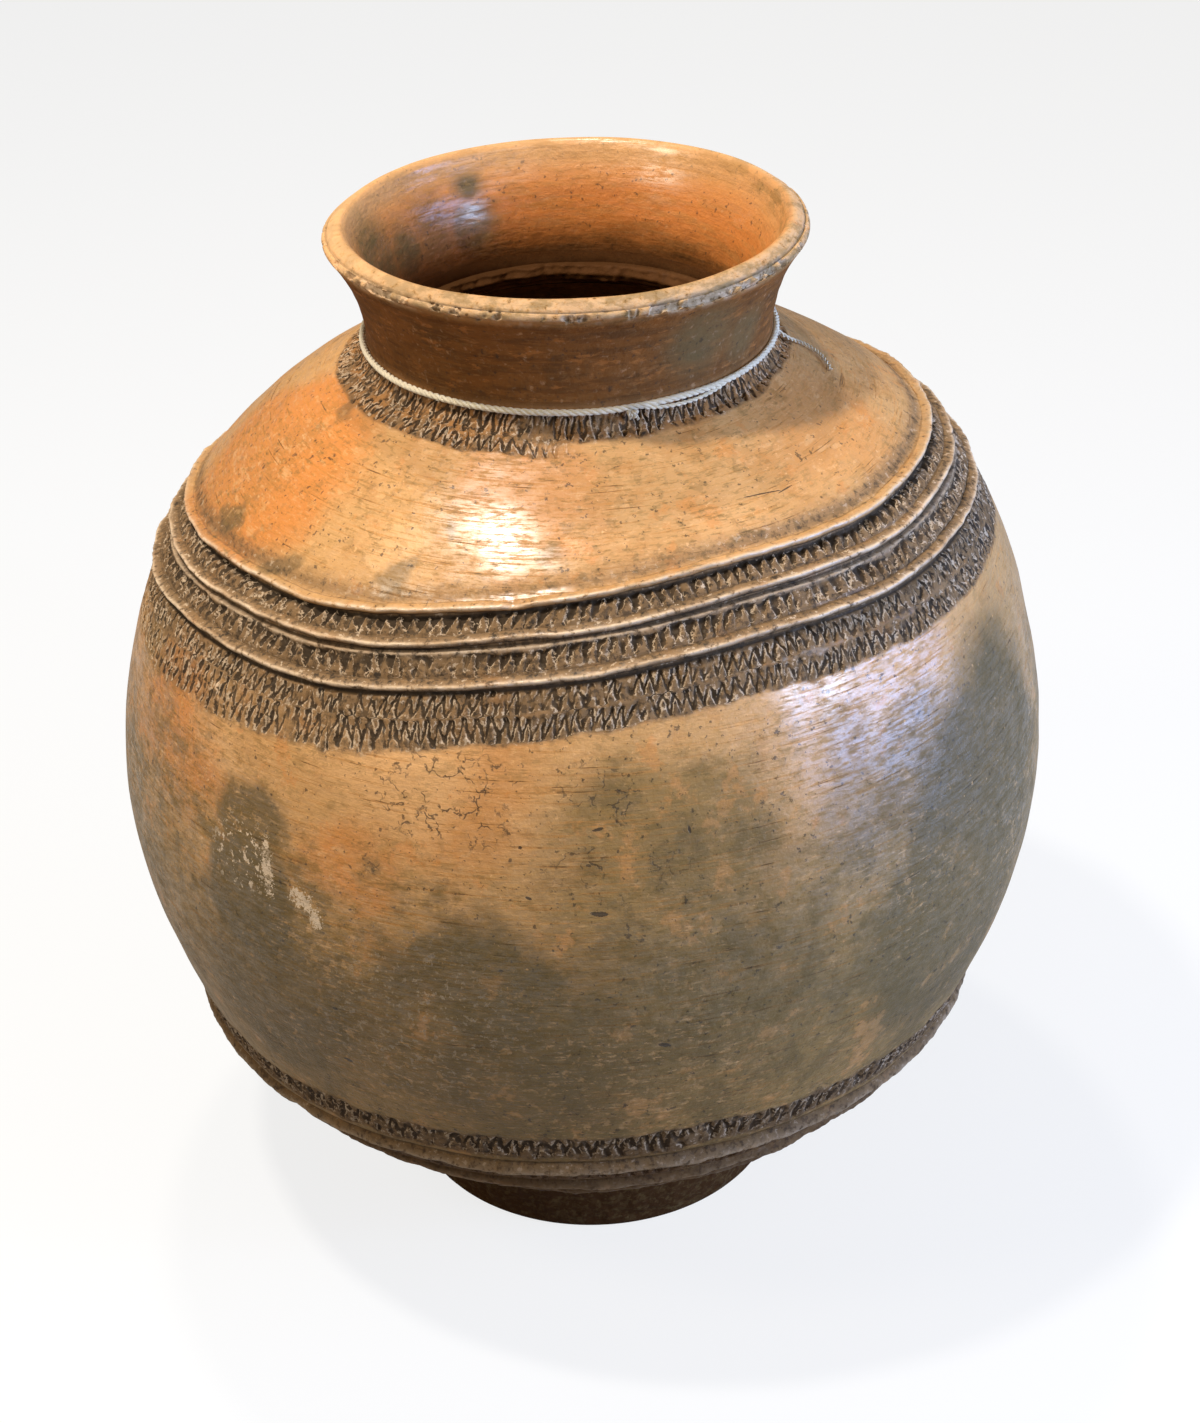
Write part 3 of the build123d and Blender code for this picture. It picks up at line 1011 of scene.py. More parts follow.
# Marks in the surface: polar angle, azimuth, half width and half height in degrees, slant.
Mark = namedtuple("Mark", "polar side wide tall slant")
SCRAPES = (
    Mark(80.3, -128.6, 0.7, 3.4, 0.15),
    Mark(82.7, -123.6, 1.7, 1.4, -0.5),
    Mark(84.6, -121.6, 0.9, 1.3, 0.3),
)
PITS = (
    Mark(77.5, -96.1, 0.45, 0.2, -0.4),
    Mark(79.4, -88.4, 1.0, 0.35, -0.1),
    Mark(97.6, -81.6, 0.9, 0.35, -0.3),
    Mark(86.5, -99.4, 0.35, 0.18, 0.1),
    Mark(69.8, -88.2, 0.7, 0.2, 0.2),
    Mark(71.8, -97.0, 0.22, 0.22, 0.0),
    Mark(70.8, -77.9, 0.2, 0.5, 0.2),
    Mark(96.4, -120.0, 0.4, 0.2, 0.1),
    Mark(37.4, -54.3, 2.6, 0.1, -0.15),
    Mark(37.9, -49.5, 1.2, 0.09, 0.1),
    Mark(75.0, 60.0, 0.7, 0.3, 0.2),
    Mark(84.0, 130.0, 0.5, 0.25, -0.2),
    Mark(92.0, 10.0, 0.6, 0.25, 0.1),
)
# Smudges on the neck: azimuth, height above the twine, distance from the axis, reach and softness in
# millimetres, strength. The first five are inside.
Smudge = namedtuple("Smudge", "side height radius reach soft strength")
SMUDGES = (
    Smudge(120.6, 37, 84, 5, 7, 0.85),
    Smudge(151.0, 20, 80, 10, 10, 0.8),
    Smudge(137.0, 22, 80, 12, 12, 0.6),
    Smudge(172.0, 22, 82, 20, 14, 0.8),
    Smudge(122.0, 20, 78, 10, 8, 0.75),
    Smudge(-54.0, 24, 89, 13, 12, 0.75),
    Smudge(-37.0, 17, 88, 9, 9, 0.7),
)


def patches(direction, spots):
    """Where the patches are, from 0 to 1."""
    found = []
    for spot in spots:
        dot = direction.vector("DOT_PRODUCT", direction, toward(spot.polar, spot.side), output=1)
        angle = dot.sum("ARCCOSINE", dot) * np.degrees(1)
        edge = 0.6 * spot.soft
        found.append(angle.step(spot.reach + edge, spot.reach - edge) * spot.strength)
    return reduce(Socket.top, found)


def smudges(place, form):
    """Where the smudges on the neck are, from 0 to 1."""
    found = []
    for spot in SMUDGES:
        side = np.radians(spot.side)
        height = form.cove_z + spot.height
        middle = np.array([spot.radius * np.cos(side), spot.radius * np.sin(side), height])
        away = place.vector("DISTANCE", place, tuple(middle * MM), output=1)
        edge = away.step((spot.reach + spot.soft) * MM, (spot.reach - 0.5 * spot.soft) * MM)
        found.append(edge * spot.strength)
    return reduce(Socket.top, found)


def marked(direction, marks, grit):
    """Where small marks are, with edges broken by the grit, from 0 to 1."""
    found = []
    for mark in marks:
        side = np.radians(mark.side)
        across = np.array([-np.sin(side), np.cos(side), 0.0])
        down = np.cross(toward(mark.polar, mark.side), across)
        across, down = across + mark.slant * down, down - mark.slant * across
        away = direction.vector("SUBTRACT", direction, toward(mark.polar, mark.side))
        a = away.vector("DOT_PRODUCT", away, tuple(across / np.radians(mark.wide)), output=1)
        b = away.vector("DOT_PRODUCT", away, tuple(down / np.radians(mark.tall)), output=1)
        found.append((a * a + b * b + grit).step(1.0, 0.6))
    return reduce(Socket.top, found)


def clay_fields(net, form):
    """Places, noises and masks that the clay's colour, gloss and relief share."""
    f = SimpleNamespace()
    f.place = net.node("ShaderNodeTexCoord", {}, {}, "Object")
    arm = f.place.vector("SUBTRACT", f.place, tuple(form.centre * MM))
    f.direction = arm.vector("NORMALIZE", arm)
    x, y, up = (net.node("ShaderNodeSeparateXYZ", {}, {0: f.direction}, axis) for axis in "XYZ")
    turn = up.sum("ARCCOSINE", up)
    f.polar = turn * np.degrees(1)
    f.z = net.node("ShaderNodeSeparateXYZ", {}, {0: f.place}, "Z")
    f.radius = f.place.vector("LENGTH", f.place.vector("MULTIPLY", f.place, (1, 1, 0)), output=1)
    for name in FIELDS:
        setattr(f, name, net.node("ShaderNodeAttribute", {"attribute_name": name}, {}, "Fac"))

    f.neck = f.z.step((form.cove_z - 2) * MM, (form.cove_z + 4) * MM)
    f.lip = f.z.step((form.cove_z + form.rise - 7) * MM, (form.cove_z + form.rise) * MM)
    slope = 0.26
    middle = form.neck - 5.5 - slope * form.cove_z
    f.inside = (f.radius - f.z * slope).step((middle + 1) * MM, (middle - 1) * MM) * f.neck
    hole = f.radius.step((form.neck - 1) * MM, (form.neck - 5) * MM)
    f.throat = hole * f.z.step((form.cove_z + 12) * MM, (form.cove_z - 3) * MM)
    f.foot = f.z.step(40 * MM, 30 * MM)
    f.front = (x * 0.6 - y * 0.8).step(-0.15, 0.25)

    # Wiping runs round the jar: its streaks are long round the axis and short along the outline.
    outline = turn * (1 - f.neck) + f.z * (f.neck / (form.globe * MM))

    def wiped(round_scale, outline_scale, detail, roughness):
        values = {0: x * round_scale, 1: y * round_scale, 2: outline * outline_scale}
        return net.node("ShaderNodeCombineXYZ", {}, values).noise(1.0, detail, roughness)

    f.streak = wiped(9.0, 60.0, 4.0, 0.65)
    f.blot = wiped(20.0, 46.0, 7.0, 0.7)
    f.fine = wiped(34.0, 150.0, 4.0, 0.7)
    f.line = wiped(7.0, 230.0, 3.0, 0.6)
    f.broad = f.place.noise(9.0, 4.0, 0.6)
    f.mottle = f.place.noise(48.0, 6.0, 0.68)
    f.pebble = f.place.noise(210.0, 3.0, 0.6)
    f.speck = f.place.noise(340.0, 4.0, 0.65)
    f.grain = f.place.noise(1600.0, 2.0, 0.5)
    sway = f.place.noise(11.0, 5.0, 0.62, output=1)
    shift = sway.vector("MULTIPLY", sway.vector("SUBTRACT", sway, (0.5, 0.5, 0.5)), (0.42, 0.42, 0.42))
    wander = f.direction.vector("ADD", f.direction, shift)
    f.wander = wander.vector("NORMALIZE", wander)
    bent = f.place.noise(130.0, 3.0, 0.6, output=1)
    warp = bent.vector("MULTIPLY", bent.vector("ADD", bent, sway), (0.011, 0.011, 0.011))
    cells = {"Vector": f.place.vector("ADD", f.place, warp), "Scale": 120.0}
    seam = net.node("ShaderNodeTexVoronoi", {"feature": "DISTANCE_TO_EDGE"}, cells)
    cracked = patches(f.direction, CRACKED_PATCHES) * f.mottle.step(0.48, 0.54) * f.pebble.step(0.44, 0.52)
    f.crack = seam.step(0.055, 0.025) * cracked * (1 - f.neck)
    f.chip = patches(f.direction, CHIPPED_PATCHES)
    broken = (f.speck - 0.5) * 4.0 + (f.grain - 0.5) * 3.0
    f.pit = marked(f.direction, PITS, broken * 0.4)
    f.scrape = marked(f.direction, SCRAPES, broken * 1.6)

    # The stamped marks, drawn finely from the coordinates that each row carries.
    press = (f.turn_x * f.turn_x + f.turn_y * f.turn_y).step(0.01, 0.3)
    phase = net.sum("ARCTAN2", f.turn_y, f.turn_x)
    zig = 1 - phase.sum("ABSOLUTE", phase) / np.pi
    waver = ((f.speck - 0.5) * 3.0 + (f.pebble - 0.5) * 2.6) * (1 + f.tool)
    line = (f.row_v - zig) * MARK_SLOPE + waver + f.tool * TOOTH_SHIFT
    across = line.sum("ABSOLUTE", line) - f.tool * TOOTH_GROWTH
    f.cut = across.step(STROKE_HALF + 0.12, STROKE_HALF - 0.12) * press
    # The raised lips beside each mark, which the colour makes pale with wear and a painted glint.
    crest = across.step(STROKE_HALF, STROKE_HALF + 0.3) * across.step(STROKE_HALF + 0.9, STROKE_HALF + 0.4)
    f.burr = crest * press
    return f


def clay_color(net, f, form, finish):
    """The clay's colour, from the fired clay up to soiling and wear, with painted shade and painted
    highlights.
    """
    warm_brown = tuple(0.55 * a + 0.45 * b for a, b in zip(finish.orange, finish.brown))
    pale = tuple(min(1.0, 1.22 * value + 0.03) for value in finish.tan)
    dull = tuple(0.5 * a + 0.5 * b for a, b in zip(finish.brown, finish.soot))
    # Scorched clay for the smoke on the neck; the same colour paints shade deep in the neck, on the throat
    # coil, on the foot and on the low bands.
    scorch_and_shade = tuple(0.35 * value for value in finish.smoked)
    ember = tuple(a * b for a, b in zip(finish.orange, (0.92, 0.78, 0.66)))
    low = (f.polar + (f.mottle - 0.5) * 34 + (f.broad - 0.5) * 44).step(70, 90)
    brown = low.top(patches(f.wander, BROWN_PATCHES))
    outer = f.neck * (1 - f.inside) * (1 - 0.85 * f.lip)
    near_rim = f.z.step((form.cove_z + 26) * MM, (form.cove_z + 47) * MM)
    plain = 1 - 0.65 * f.neck
    grainy = f.broad.step(0.36, 0.6) * plain
    deep_inside_shade = f.inside * (f.z + (f.mottle - 0.5) * 0.02).step((form.cove_z + 22) * MM, (form.cove_z + 3) * MM)
    # Painted shade low down: the colour darkens and the pale wear fades towards the floor.
    painted_low_shade = f.z.step(150 * MM, 75 * MM)
    band = f.worked * (1 - f.throat) * (0.6 + 0.75 * f.mottle)
    band = band.sum("MINIMUM", band, 0.95)
    rub = f.worn * (0.2 + 1.5 * f.blot) * (1 - 0.7 * f.recess) * (1 - 0.7 * painted_low_shade)
    layers = (
        # The fired ground, its patches and fire clouds.
        (warm_brown, f.broad.step(0.52, 0.6) * 0.35 + f.mottle.step(0.53, 0.6) * 0.3),
        # Paler clay patches, two of them painted light.
        (pale, patches(f.wander, PALE_AND_LIT_PATCHES)),
        (finish.brown, brown * 0.95),
        (pale, f.blot.step(0.44, 0.36) * (0.5 - 0.25 * brown)),
        (warm_brown, (1 - f.neck) * f.line.step(0.56, 0.64) * 0.5),
        (dull, f.blot.step(0.54, 0.62) * (0.3 + 0.25 * brown)),
        (finish.orange, f.mottle.step(0.43, 0.36) * (0.45 - 0.15 * brown)),
        (finish.soot, patches(f.wander, FIRE_CLOUDS) * (1 - f.neck) * (1.25 - 0.5 * f.streak)),
        (finish.soot, brown * f.mottle.step(0.48, 0.58) * 0.5),
        (finish.tan, brown * f.mottle.step(0.42, 0.35) * 0.3),
        # The neck and its inside.
        (finish.smoked, outer * (1.3 - 0.5 * f.streak)),
        (scorch_and_shade, outer * (f.streak.step(0.47, 0.58) * 0.5 + f.mottle.step(0.5, 0.58) * 0.4)),
        (finish.orange, outer * f.blot.step(0.44, 0.36) * 0.3),
        (ember, f.inside * 0.92),
        (finish.tan, f.inside * near_rim * (0.3 + 0.7 * f.mottle)),
        (warm_brown, f.inside * f.streak.step(0.48, 0.62) * 0.5),
        (finish.soot, smudges(f.place, form) * (0.5 + 1.3 * f.blot) * f.neck),
        # Grain, specks, chips and cracks.
        (dull, grainy * (f.fine.step(0.54, 0.62) * 0.5 + f.pebble.step(0.56, 0.64) * 0.35)),
        (pale, grainy * (f.fine.step(0.42, 0.34) * 0.42 + f.pebble.step(0.42, 0.34) * 0.28)),
        (finish.dirt_and_shade, plain * f.line.step(0.64, 0.69) * f.mottle.step(0.46, 0.54) * 0.7),
        (finish.dirt_and_shade, f.speck.step(0.62, 0.67) * 0.7),
        (pale, f.speck.step(0.345, 0.30) * plain * (0.7 - 0.5 * brown)),
        (finish.worn, f.chip * f.speck.step(0.585, 0.605) * 0.9),
        (finish.dirt_and_shade, f.crack * 0.75),
        # Painted shade deep in the neck and on the throat coil, then the stamped bands, the wear on them and
        # painted glints.
        (scorch_and_shade, deep_inside_shade * (0.4 + 1.2 * f.streak) * 0.85),
        (scorch_and_shade, f.throat * (0.8 + 0.5 * f.mottle)),
        (finish.stamped, band),
        (warm_brown, band * f.polar.step(33, 30) * f.mottle.step(0.4, 0.56) * 0.55),
        (finish.dirt_and_shade, band * (f.speck.step(0.53, 0.6) * 0.65 + f.pebble.step(0.53, 0.62) * 0.4)),
        (finish.worn, band * f.speck.step(0.41, 0.36) * (0.55 - 0.45 * painted_low_shade)),
        # Painted shade, with some dirt, in the grooves, under the cordons, in the lip's incised line and in
        # the stamps.
        (finish.dirt_and_shade, f.recess.step(0.12, 0.75) * 0.92),
        (finish.worn, rub.sum("MINIMUM", rub, 0.9) * f.speck.step(0.68, 0.5)),
        # Pale worn clay and a painted glint on the raised lips beside the marks, fading low down.
        (finish.worn, f.burr * f.pebble.step(0.42, 0.56) * (0.65 - 0.5 * painted_low_shade)),
        # Dark inside the stamped marks: dirt together with painted shade.
        (finish.dirt_and_shade, f.cut * (0.55 + 0.6 * f.mottle) * (1 - 0.25 * f.neck)),
        # The foot and the low bands in painted shade, the lip with painted light and shade, scrapes and
        # pits.
        # Painted shade on the low worked bands and on the foot under the globe, uneven with the mottle.
        (scorch_and_shade, f.worked * painted_low_shade * 0.85 + f.foot * (0.35 + 0.6 * f.mottle.step(0.4, 0.58))),
        (dull, f.foot * (f.speck.step(0.48, 0.38) * 0.3 + f.fine.step(0.5, 0.6) * 0.2)),
        # Painted light on the back and left of the lip, and blotchy dull clay, stronger towards the front as
        # painted shade.
        (pale, f.lip * (1 - f.front) * 0.4),
        (dull, f.lip * f.blot.step(0.44, 0.58) * (0.2 + 0.4 * f.front)),
        (finish.worn, f.scrape * f.speck.step(0.6, 0.5) * 0.85),
        (finish.dirt_and_shade, f.pit * 0.85),
    )
    color = net.mix(finish.tan, finish.orange, patches(f.wander, ORANGE_PATCHES))
    for paint, share in layers:
        color = color.tint(paint, share)
    return color


def clay_material(form, finish):
    """Burnished low-fired clay: wiped streaks, fire clouds, stamps darkened with soiling and painted shade,
    and worn crests.
    """
    material, net = new_material("burnished_clay")
    f = clay_fields(net, form)
    dry = f.worked.top(f.neck * (1 - f.inside)).top(f.throat)
    rough = finish.burnish + 0.25 * (f.mottle - 0.45) + 0.35 * (f.blot - 0.48) + 0.45 * dry + 0.2 * f.recess
    rubbed = f.blot.step(0.7, 0.44) * f.fine.step(0.66, 0.44) * f.line.step(0.66, 0.5)
    gloss = (1 - dry) * rubbed * f.polar.step(118, 72)
    relief = (1.0 * f.streak + 1.3 * f.fine + 3.8 * f.pebble + 0.9 * f.speck + 0.15 * f.grain
              - 1.6 * f.cut - 1.5 * f.pit - 0.8 * f.crack - 0.5 * f.line)
    bump = net.node("ShaderNodeBump", {}, {"Strength": 0.42, "Distance": 0.0005, "Height": relief})
    finish_material(net, {
        "Base Color": clay_color(net, f, form, finish), "Roughness": rough.sum("MINIMUM", rough, 0.95),
        "Coat Weight": gloss, "Coat Roughness": 0.27, "Coat IOR": 1.72, "Normal": bump,
        "Specular IOR Level": 0.15})
    return material


def twine_material(finish):
    """Cream cotton twine, dirtier in places, with fibres along the strands."""
    material, net = new_material("cotton_twine")
    place = net.node("ShaderNodeTexCoord", {}, {}, "Object")
    soil = place.noise(60.0, 3.0, 0.6)
    fibre = place.noise(2600.0, 3.0, 0.6)
    color = net.mix(finish.cream, finish.grime, soil.step(0.5, 0.75) * 0.7)
    color = color.tint(finish.grime, fibre.step(0.5, 0.8) * 0.5)
    bump = net.node("ShaderNodeBump", {}, {"Strength": 0.5, "Distance": 0.0003, "Height": fibre})
    finish_material(net, {
        "Base Color": color, "Roughness": 0.85, "Normal": bump, "Sheen Weight": 0.3,
        "Specular IOR Level": 0.2})
    return material


def headings(path, closed):
    """Unit steps along a path, one for each of its points."""
    if closed:
        along = np.roll(path, -1, 0) - np.roll(path, 1, 0)
    else:
        along = np.gradient(path, axis=0)
    return along / np.linalg.norm(along, axis=1)[:, None]


def tube(path, radius, sides, closed, points, faces):
    """Adds a tube along a path to lists of points and faces; open ends are closed by fans."""
    count = len(path)
    along = headings(path, closed)
    normal = np.cross(along[0], (0.31, 0.57, 0.76))
    normals = []
    for step in along:
        normal = normal - step * (normal @ step)
        normal = normal / np.linalg.norm(normal)
        normals.append(normal)
    normals = np.array(normals)
    others = np.cross(along, normals)
    if closed:
        last = normals[-1] - along[0] * (normals[-1] @ along[0])
        twist = np.arctan2(last @ others[0], last @ normals[0])
        turn = -twist * np.arange(count) / count
    else:
        turn = np.zeros(count)
    start = len(points)
    for i in range(count):
        angle = np.arange(sides) * 2 * np.pi / sides + turn[i]
        ring = np.outer(np.cos(angle), normals[i]) + np.outer(np.sin(angle), others[i])
        points.extend((path[i] + radius * ring).tolist())
    for i in range(count if closed else count - 1):
        a = start + i * sides
        b = start + ((i + 1) % count) * sides
        for j in range(sides):
            k = (j + 1) % sides
            faces.append((a + j, a + k, b + k, b + j))
    if not closed:
        for i, flip in ((0, True), (count - 1, False)):
            points.append(path[i].tolist())
            tip = len(points) - 1
            a = start + i * sides
            for j in range(sides):
                k = (j + 1) % sides
                faces.append((a + k, a + j, tip) if flip else (a + j, a + k, tip))


def twisted(path, closed, strands, helix, turns, radius, sides, points, faces):
    """Adds strands twisted round a path."""
    count = len(path)
    along = headings(path, closed)
    first = np.cross(along, (0.0, 0.0, 1.0))
    first /= np.linalg.norm(first, axis=1)[:, None]
    second = np.cross(along, first)
    share = np.arange(count) / (count if closed else count - 1)
    for strand in range(strands):
        angle = 2 * np.pi * (turns * share + strand / strands)
        offset = np.cos(angle)[:, None] * first + np.sin(angle)[:, None] * second
        tube(path + helix * offset, radius, sides, closed, points, faces)


def string_mesh(name, points, faces, material):
    mesh = bpy.data.meshes.new(name)
    mesh.from_pydata((np.array(points) * MM).tolist(), [], faces)
    mesh.shade_smooth()
    mesh.validate()
    mesh.update()
    mesh.materials.append(material)
    return mesh


LOOSE_FIBRES = 170


def loop_mesh(form, twine, material):
    """The loop round the neck: three strands, a slack second turn beside the knot, and loose fibres."""
    points, faces = [], []
    radius = twine.loop_radius / MM
    half = twine.diameter / MM / 2
    turn = np.arange(960) * 2 * np.pi / 960
    slack = 0.12 * np.sin(5 * turn) + 0.08 * np.sin(11 * turn + 1)
    sway = radius + 0.1 * np.sin(7 * turn)
    loop = np.stack([sway * np.cos(turn), sway * np.sin(turn), form.cove_z + slack], 1)
    twisted(loop, True, 3, 0.44 * half, twine.turns, 0.5 * half, 8, points, faces)
    turn = np.radians(np.linspace(-72, -44, 90))
    drop = 2.4 * np.sin(np.linspace(0, np.pi, 90)) ** 0.6
    away = radius + 0.45 * drop
    second = np.stack([away * np.cos(turn), away * np.sin(turn), form.cove_z - drop], 1)
    twisted(second, False, 2, 0.4, 8, 0.5, 7, points, faces)
    dice = np.random.default_rng(61)
    for _ in range(LOOSE_FIBRES):
        side = dice.uniform(0, 2 * np.pi)
        out = np.array([np.cos(side), np.sin(side), 0])
        along = np.array([-np.sin(side), np.cos(side), 0])
        start = out * (radius + half * 0.6) + np.array([0, 0, form.cove_z + dice.uniform(-0.8, 0.8)])
        reach = dice.uniform(0.8, 2.2)
        away = out * dice.uniform(0.3, 1.0) + along * dice.uniform(-1, 1)
        away[2] += dice.uniform(-0.5, 0.6)
        bend = along * dice.uniform(-0.6, 0.6)
        share = np.linspace(0, 1, 5)[:, None]
        tube(start + reach * (away * share + bend * share**2), 0.05, 3, False, points, faces)
    return string_mesh("neck_string_twine", points, faces, material)


def knot_mesh(material):
    """An overhand knot in the loop, pulled tight."""
    low, high = (np.array(corner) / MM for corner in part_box("string_knot"))
    middle = (low + high) / 2
    side = np.arctan2(middle[1], middle[0])
    out = np.array([np.cos(side), np.sin(side), 0])
    along = np.array([-np.sin(side), np.cos(side), 0])
    up = np.array([0, 0, 1.0])
    points, faces = [], []
    turn = np.linspace(0, 2 * np.pi, 150, endpoint=False)
    x = np.sin(turn) + 2 * np.sin(2 * turn)
    y = np.cos(turn) - 2 * np.cos(2 * turn)
    z = -np.sin(3 * turn)
    line = middle + 0.62 * x[:, None] * along + 0.42 * y[:, None] * up + 0.7 * z[:, None] * out
    twisted(line, True, 2, 0.42, 9, 0.48, 7, points, faces)
    for lean, length in ((1, 2.2), (-1, 1.4)):
        share = np.linspace(0, 1, 12)[:, None]
        end = middle + along * lean * 0.8 + (along * lean * 0.5 - up * 0.5 + out * 0.55) * length * share
        end = end - up * (1.2 * share**2)
        twisted(end, False, 2, 0.3, 1.2, 0.36, 6, points, faces)
    return string_mesh("string_knot_twine", points, faces, material)


TAIL_START_SIDE = -7.0
TAIL_POINTS = ((91.5, -1.0), (98.0, 2.5), (104.2, 0.2), (107.6, -5.6), (109.0, -12.4))


def tail_route(form, twine):
    """The loose end's points, in millimetres: out of the loop, then along the shoulder."""
    side = np.radians(TAIL_START_SIDE)
    radius = twine.loop_radius / MM
    route = [(radius * np.cos(side), radius * np.sin(side), form.cove_z)]
    for x, y in TAIL_POINTS:
        reach = np.hypot(x, y)
        polar = np.degrees(np.arcsin(reach / form.globe))
        rest = form.plain(polar, np.degrees(np.arctan2(y, x))) + twine.tail_diameter / MM / 2 + 0.25
        route.append((x, y, form.centre[2] + np.sqrt(rest**2 - reach**2)))
    return route


def smooth_line(route):
    """Points of the smooth curve that the route's points steer, in millimetres."""
    curve = bpy.data.curves.new("tail_line", "CURVE")
    curve.dimensions = "3D"
    curve.resolution_u = 24
    spline = curve.splines.new("NURBS")
    spline.points.add(len(route) - 1)
    for point, place in zip(spline.points, route):
        point.co = (*(value * MM for value in place), 1.0)
    spline.order_u = 3
    spline.use_endpoint_u = True
    holder = bpy.data.objects.new("tail_line", curve)
    line = bpy.data.meshes.new_from_object(holder)
    points = np.array([vertex.co for vertex in line.vertices]) / MM
    bpy.data.objects.remove(holder)
    bpy.data.curves.remove(curve)
    bpy.data.meshes.remove(line)
    return points


def tail_mesh(twine, path, material):
    """The loose end: two strands twisted along its path."""
    points, faces = [], []
    half = twine.tail_diameter / MM / 2
    twisted(path, False, 2, 0.5 * half, 8, 0.36 * half, 7, points, faces)
    return string_mesh("string_tail_twine", points, faces, material)


def jar_clay(context):
    """The shared clay material, made once."""
    found = bpy.data.materials.get("burnished_clay")
    return found or clay_material(JarForm(context.scene.jar_shape), context.scene.jar_clay)


def set_clay(context, makers):
    """Builds clay pieces of the jar, each with its own maker."""
    form = JarForm(context.scene.jar_shape)
    clay = jar_clay(context)
    for node, maker in makers.items():
        set_piece(context, node + "_clay", maker(form, clay), "jar", node)


class JAR_OT_globe(bpy.types.Operator):
    """Builds the sections of the globe's wall with their stamped rows"""

    bl_idname = "jar.globe"
    bl_label = "Globe"

    def execute(self, context):
        set_clay(context, {
            "shoulder_dome": shoulder_mesh, "upper_belly": upper_belly_mesh,
            "lower_belly": lower_belly_mesh, "lower_bowl": lower_bowl_mesh, "base_dish": base_mesh})
        return {"FINISHED"}


class JAR_OT_foot(bpy.types.Operator):
    """Builds the ring foot"""

    bl_idname = "jar.foot"
    bl_label = "Foot"

    def execute(self, context):
        set_clay(context, {"foot_ring": foot_mesh})
        return {"FINISHED"}


class JAR_OT_neck(bpy.types.Operator):
    """Builds the neck, the lip and the coil in the throat"""

    bl_idname = "jar.neck"
    bl_label = "Neck"

    def execute(self, context):
        set_clay(context, {"neck_collar": neck_mesh, "lip_coil": lip_mesh, "throat_coil": throat_mesh})
        return {"FINISHED"}


class JAR_OT_cordons(bpy.types.Operator):
    """Builds the applied rolls of clay at the shoulder and above the foot"""

    bl_idname = "jar.cordons"
    bl_label = "Cordons"

    def execute(self, context):
        form = JarForm(context.scene.jar_shape)
        clay = jar_clay(context)
        groups = (
            ("shoulder", SHOULDER_CORDONS, form.leaning, SHOULDER_SECTION, 0.95),
            ("foot", FOOT_CORDONS, form.foot_line, FOOT_SECTION, 0.8))
        seed = CORDON_SEED
        for place, tiers, line, section, worked in groups:
            for name, tier in tiers.items():
                node = f"{name}_{place}_cordon"
                dulled = BURNISHED_CORDON if node == "upper_shoulder_cordon" else worked
                mesh = cordon_mesh(form, node, line(tier, around(FINE)), section, dulled, seed, clay)
                set_piece(context, node + "_clay", mesh, "jar", node)
                seed += CORDON_SEED_STEP
        return {"FINISHED"}


class JAR_OT_twine(bpy.types.Operator):
    """Builds the twine loop, its knot and its loose end"""

    bl_idname = "jar.twine"
    bl_label = "Twine"

    def execute(self, context):
        form = JarForm(context.scene.jar_shape)
        twine = context.scene.jar_twine
        cotton = twine_material(twine)
        path = smooth_line(tail_route(form, twine))
        tail = set_piece(
            context, "string_tail_twine", tail_mesh(twine, path, cotton), "string", "string_tail")
        length = float(np.linalg.norm(np.diff(path, axis=0), axis=1).sum()) * MM
        loop = loop_mesh(form, twine, cotton)
        set_piece(context, "neck_string_twine", loop, "string", "neck_string")
        knot = knot_mesh(cotton)
        set_piece(context, "string_knot_twine", knot, "string", "string_knot")
        return {"FINISHED"}


CAMERA_DISTANCE = 1.19485
CAMERA_ELEVATION = np.radians(31.17)
CAMERA_ROLL = np.radians(-1.7)
CAMERA_AIM = (0.00808, 0.0, 0.23154)
# Each lamp: its name, azimuth and elevation in degrees, distance, size and colour.
Lamp = namedtuple("Lamp", "name side rise distance size color")
LAMPS = (
    Lamp("key", -149, 70, 1.7, (0.1, 0.1), (1.0, 0.95, 0.87)),
    Lamp("back", 114, 73, 1.8, (0.14, 0.14), (1.0, 0.92, 0.8)),
    Lamp("left", -150, 40, 1.8, (0.4, 0.4), (1.0, 0.87, 0.68)),
    Lamp("side", -17, 9, 1.3, (0.95, 0.75), (0.32, 0.5, 1.0)),
    Lamp("window", -31, 17, 1.25, (0.1, 0.13), (0.6, 0.78, 1.0)),
    Lamp("fill", -52, 42, 1.9, (0.8, 0.8), (1.0, 0.95, 0.88)),
)
LAMP_AIM = Vector((0, 0, 0.3))
FLOOR_REACH = 30.0
# The share of the floor's colour that lights the jar, its own glow, and the strength of the backdrop.
FLOOR_SHADE = 0.45
FLOOR_GLOW = 0.8
BACKDROP = 0.84
WHITE = (1.0, 1.0, 1.0)


def set_camera(context, stage):
    data = bpy.data.cameras.new("camera")
    data.lens = stage.lens
    data.sensor_width = 36
    data.clip_end = 50
    camera = bpy.data.objects.new("camera", data)
    context.scene.collection.objects.link(camera)
    lift, turn = CAMERA_ELEVATION, CAMERA_ROLL
    back = Vector((0, -np.cos(lift), np.sin(lift)))
    up = Vector((0, np.sin(lift), np.cos(lift)))
    right = Vector((1, 0, 0))
    x_axis = right * np.cos(turn) + up * np.sin(turn)
    y_axis = up * np.cos(turn) - right * np.sin(turn)
    place = Vector(CAMERA_AIM) + back * CAMERA_DISTANCE
    turned = Matrix((x_axis, y_axis, back)).transposed().to_4x4()
    camera.matrix_world = Matrix.Translation(place) @ turned
    context.scene.camera = camera


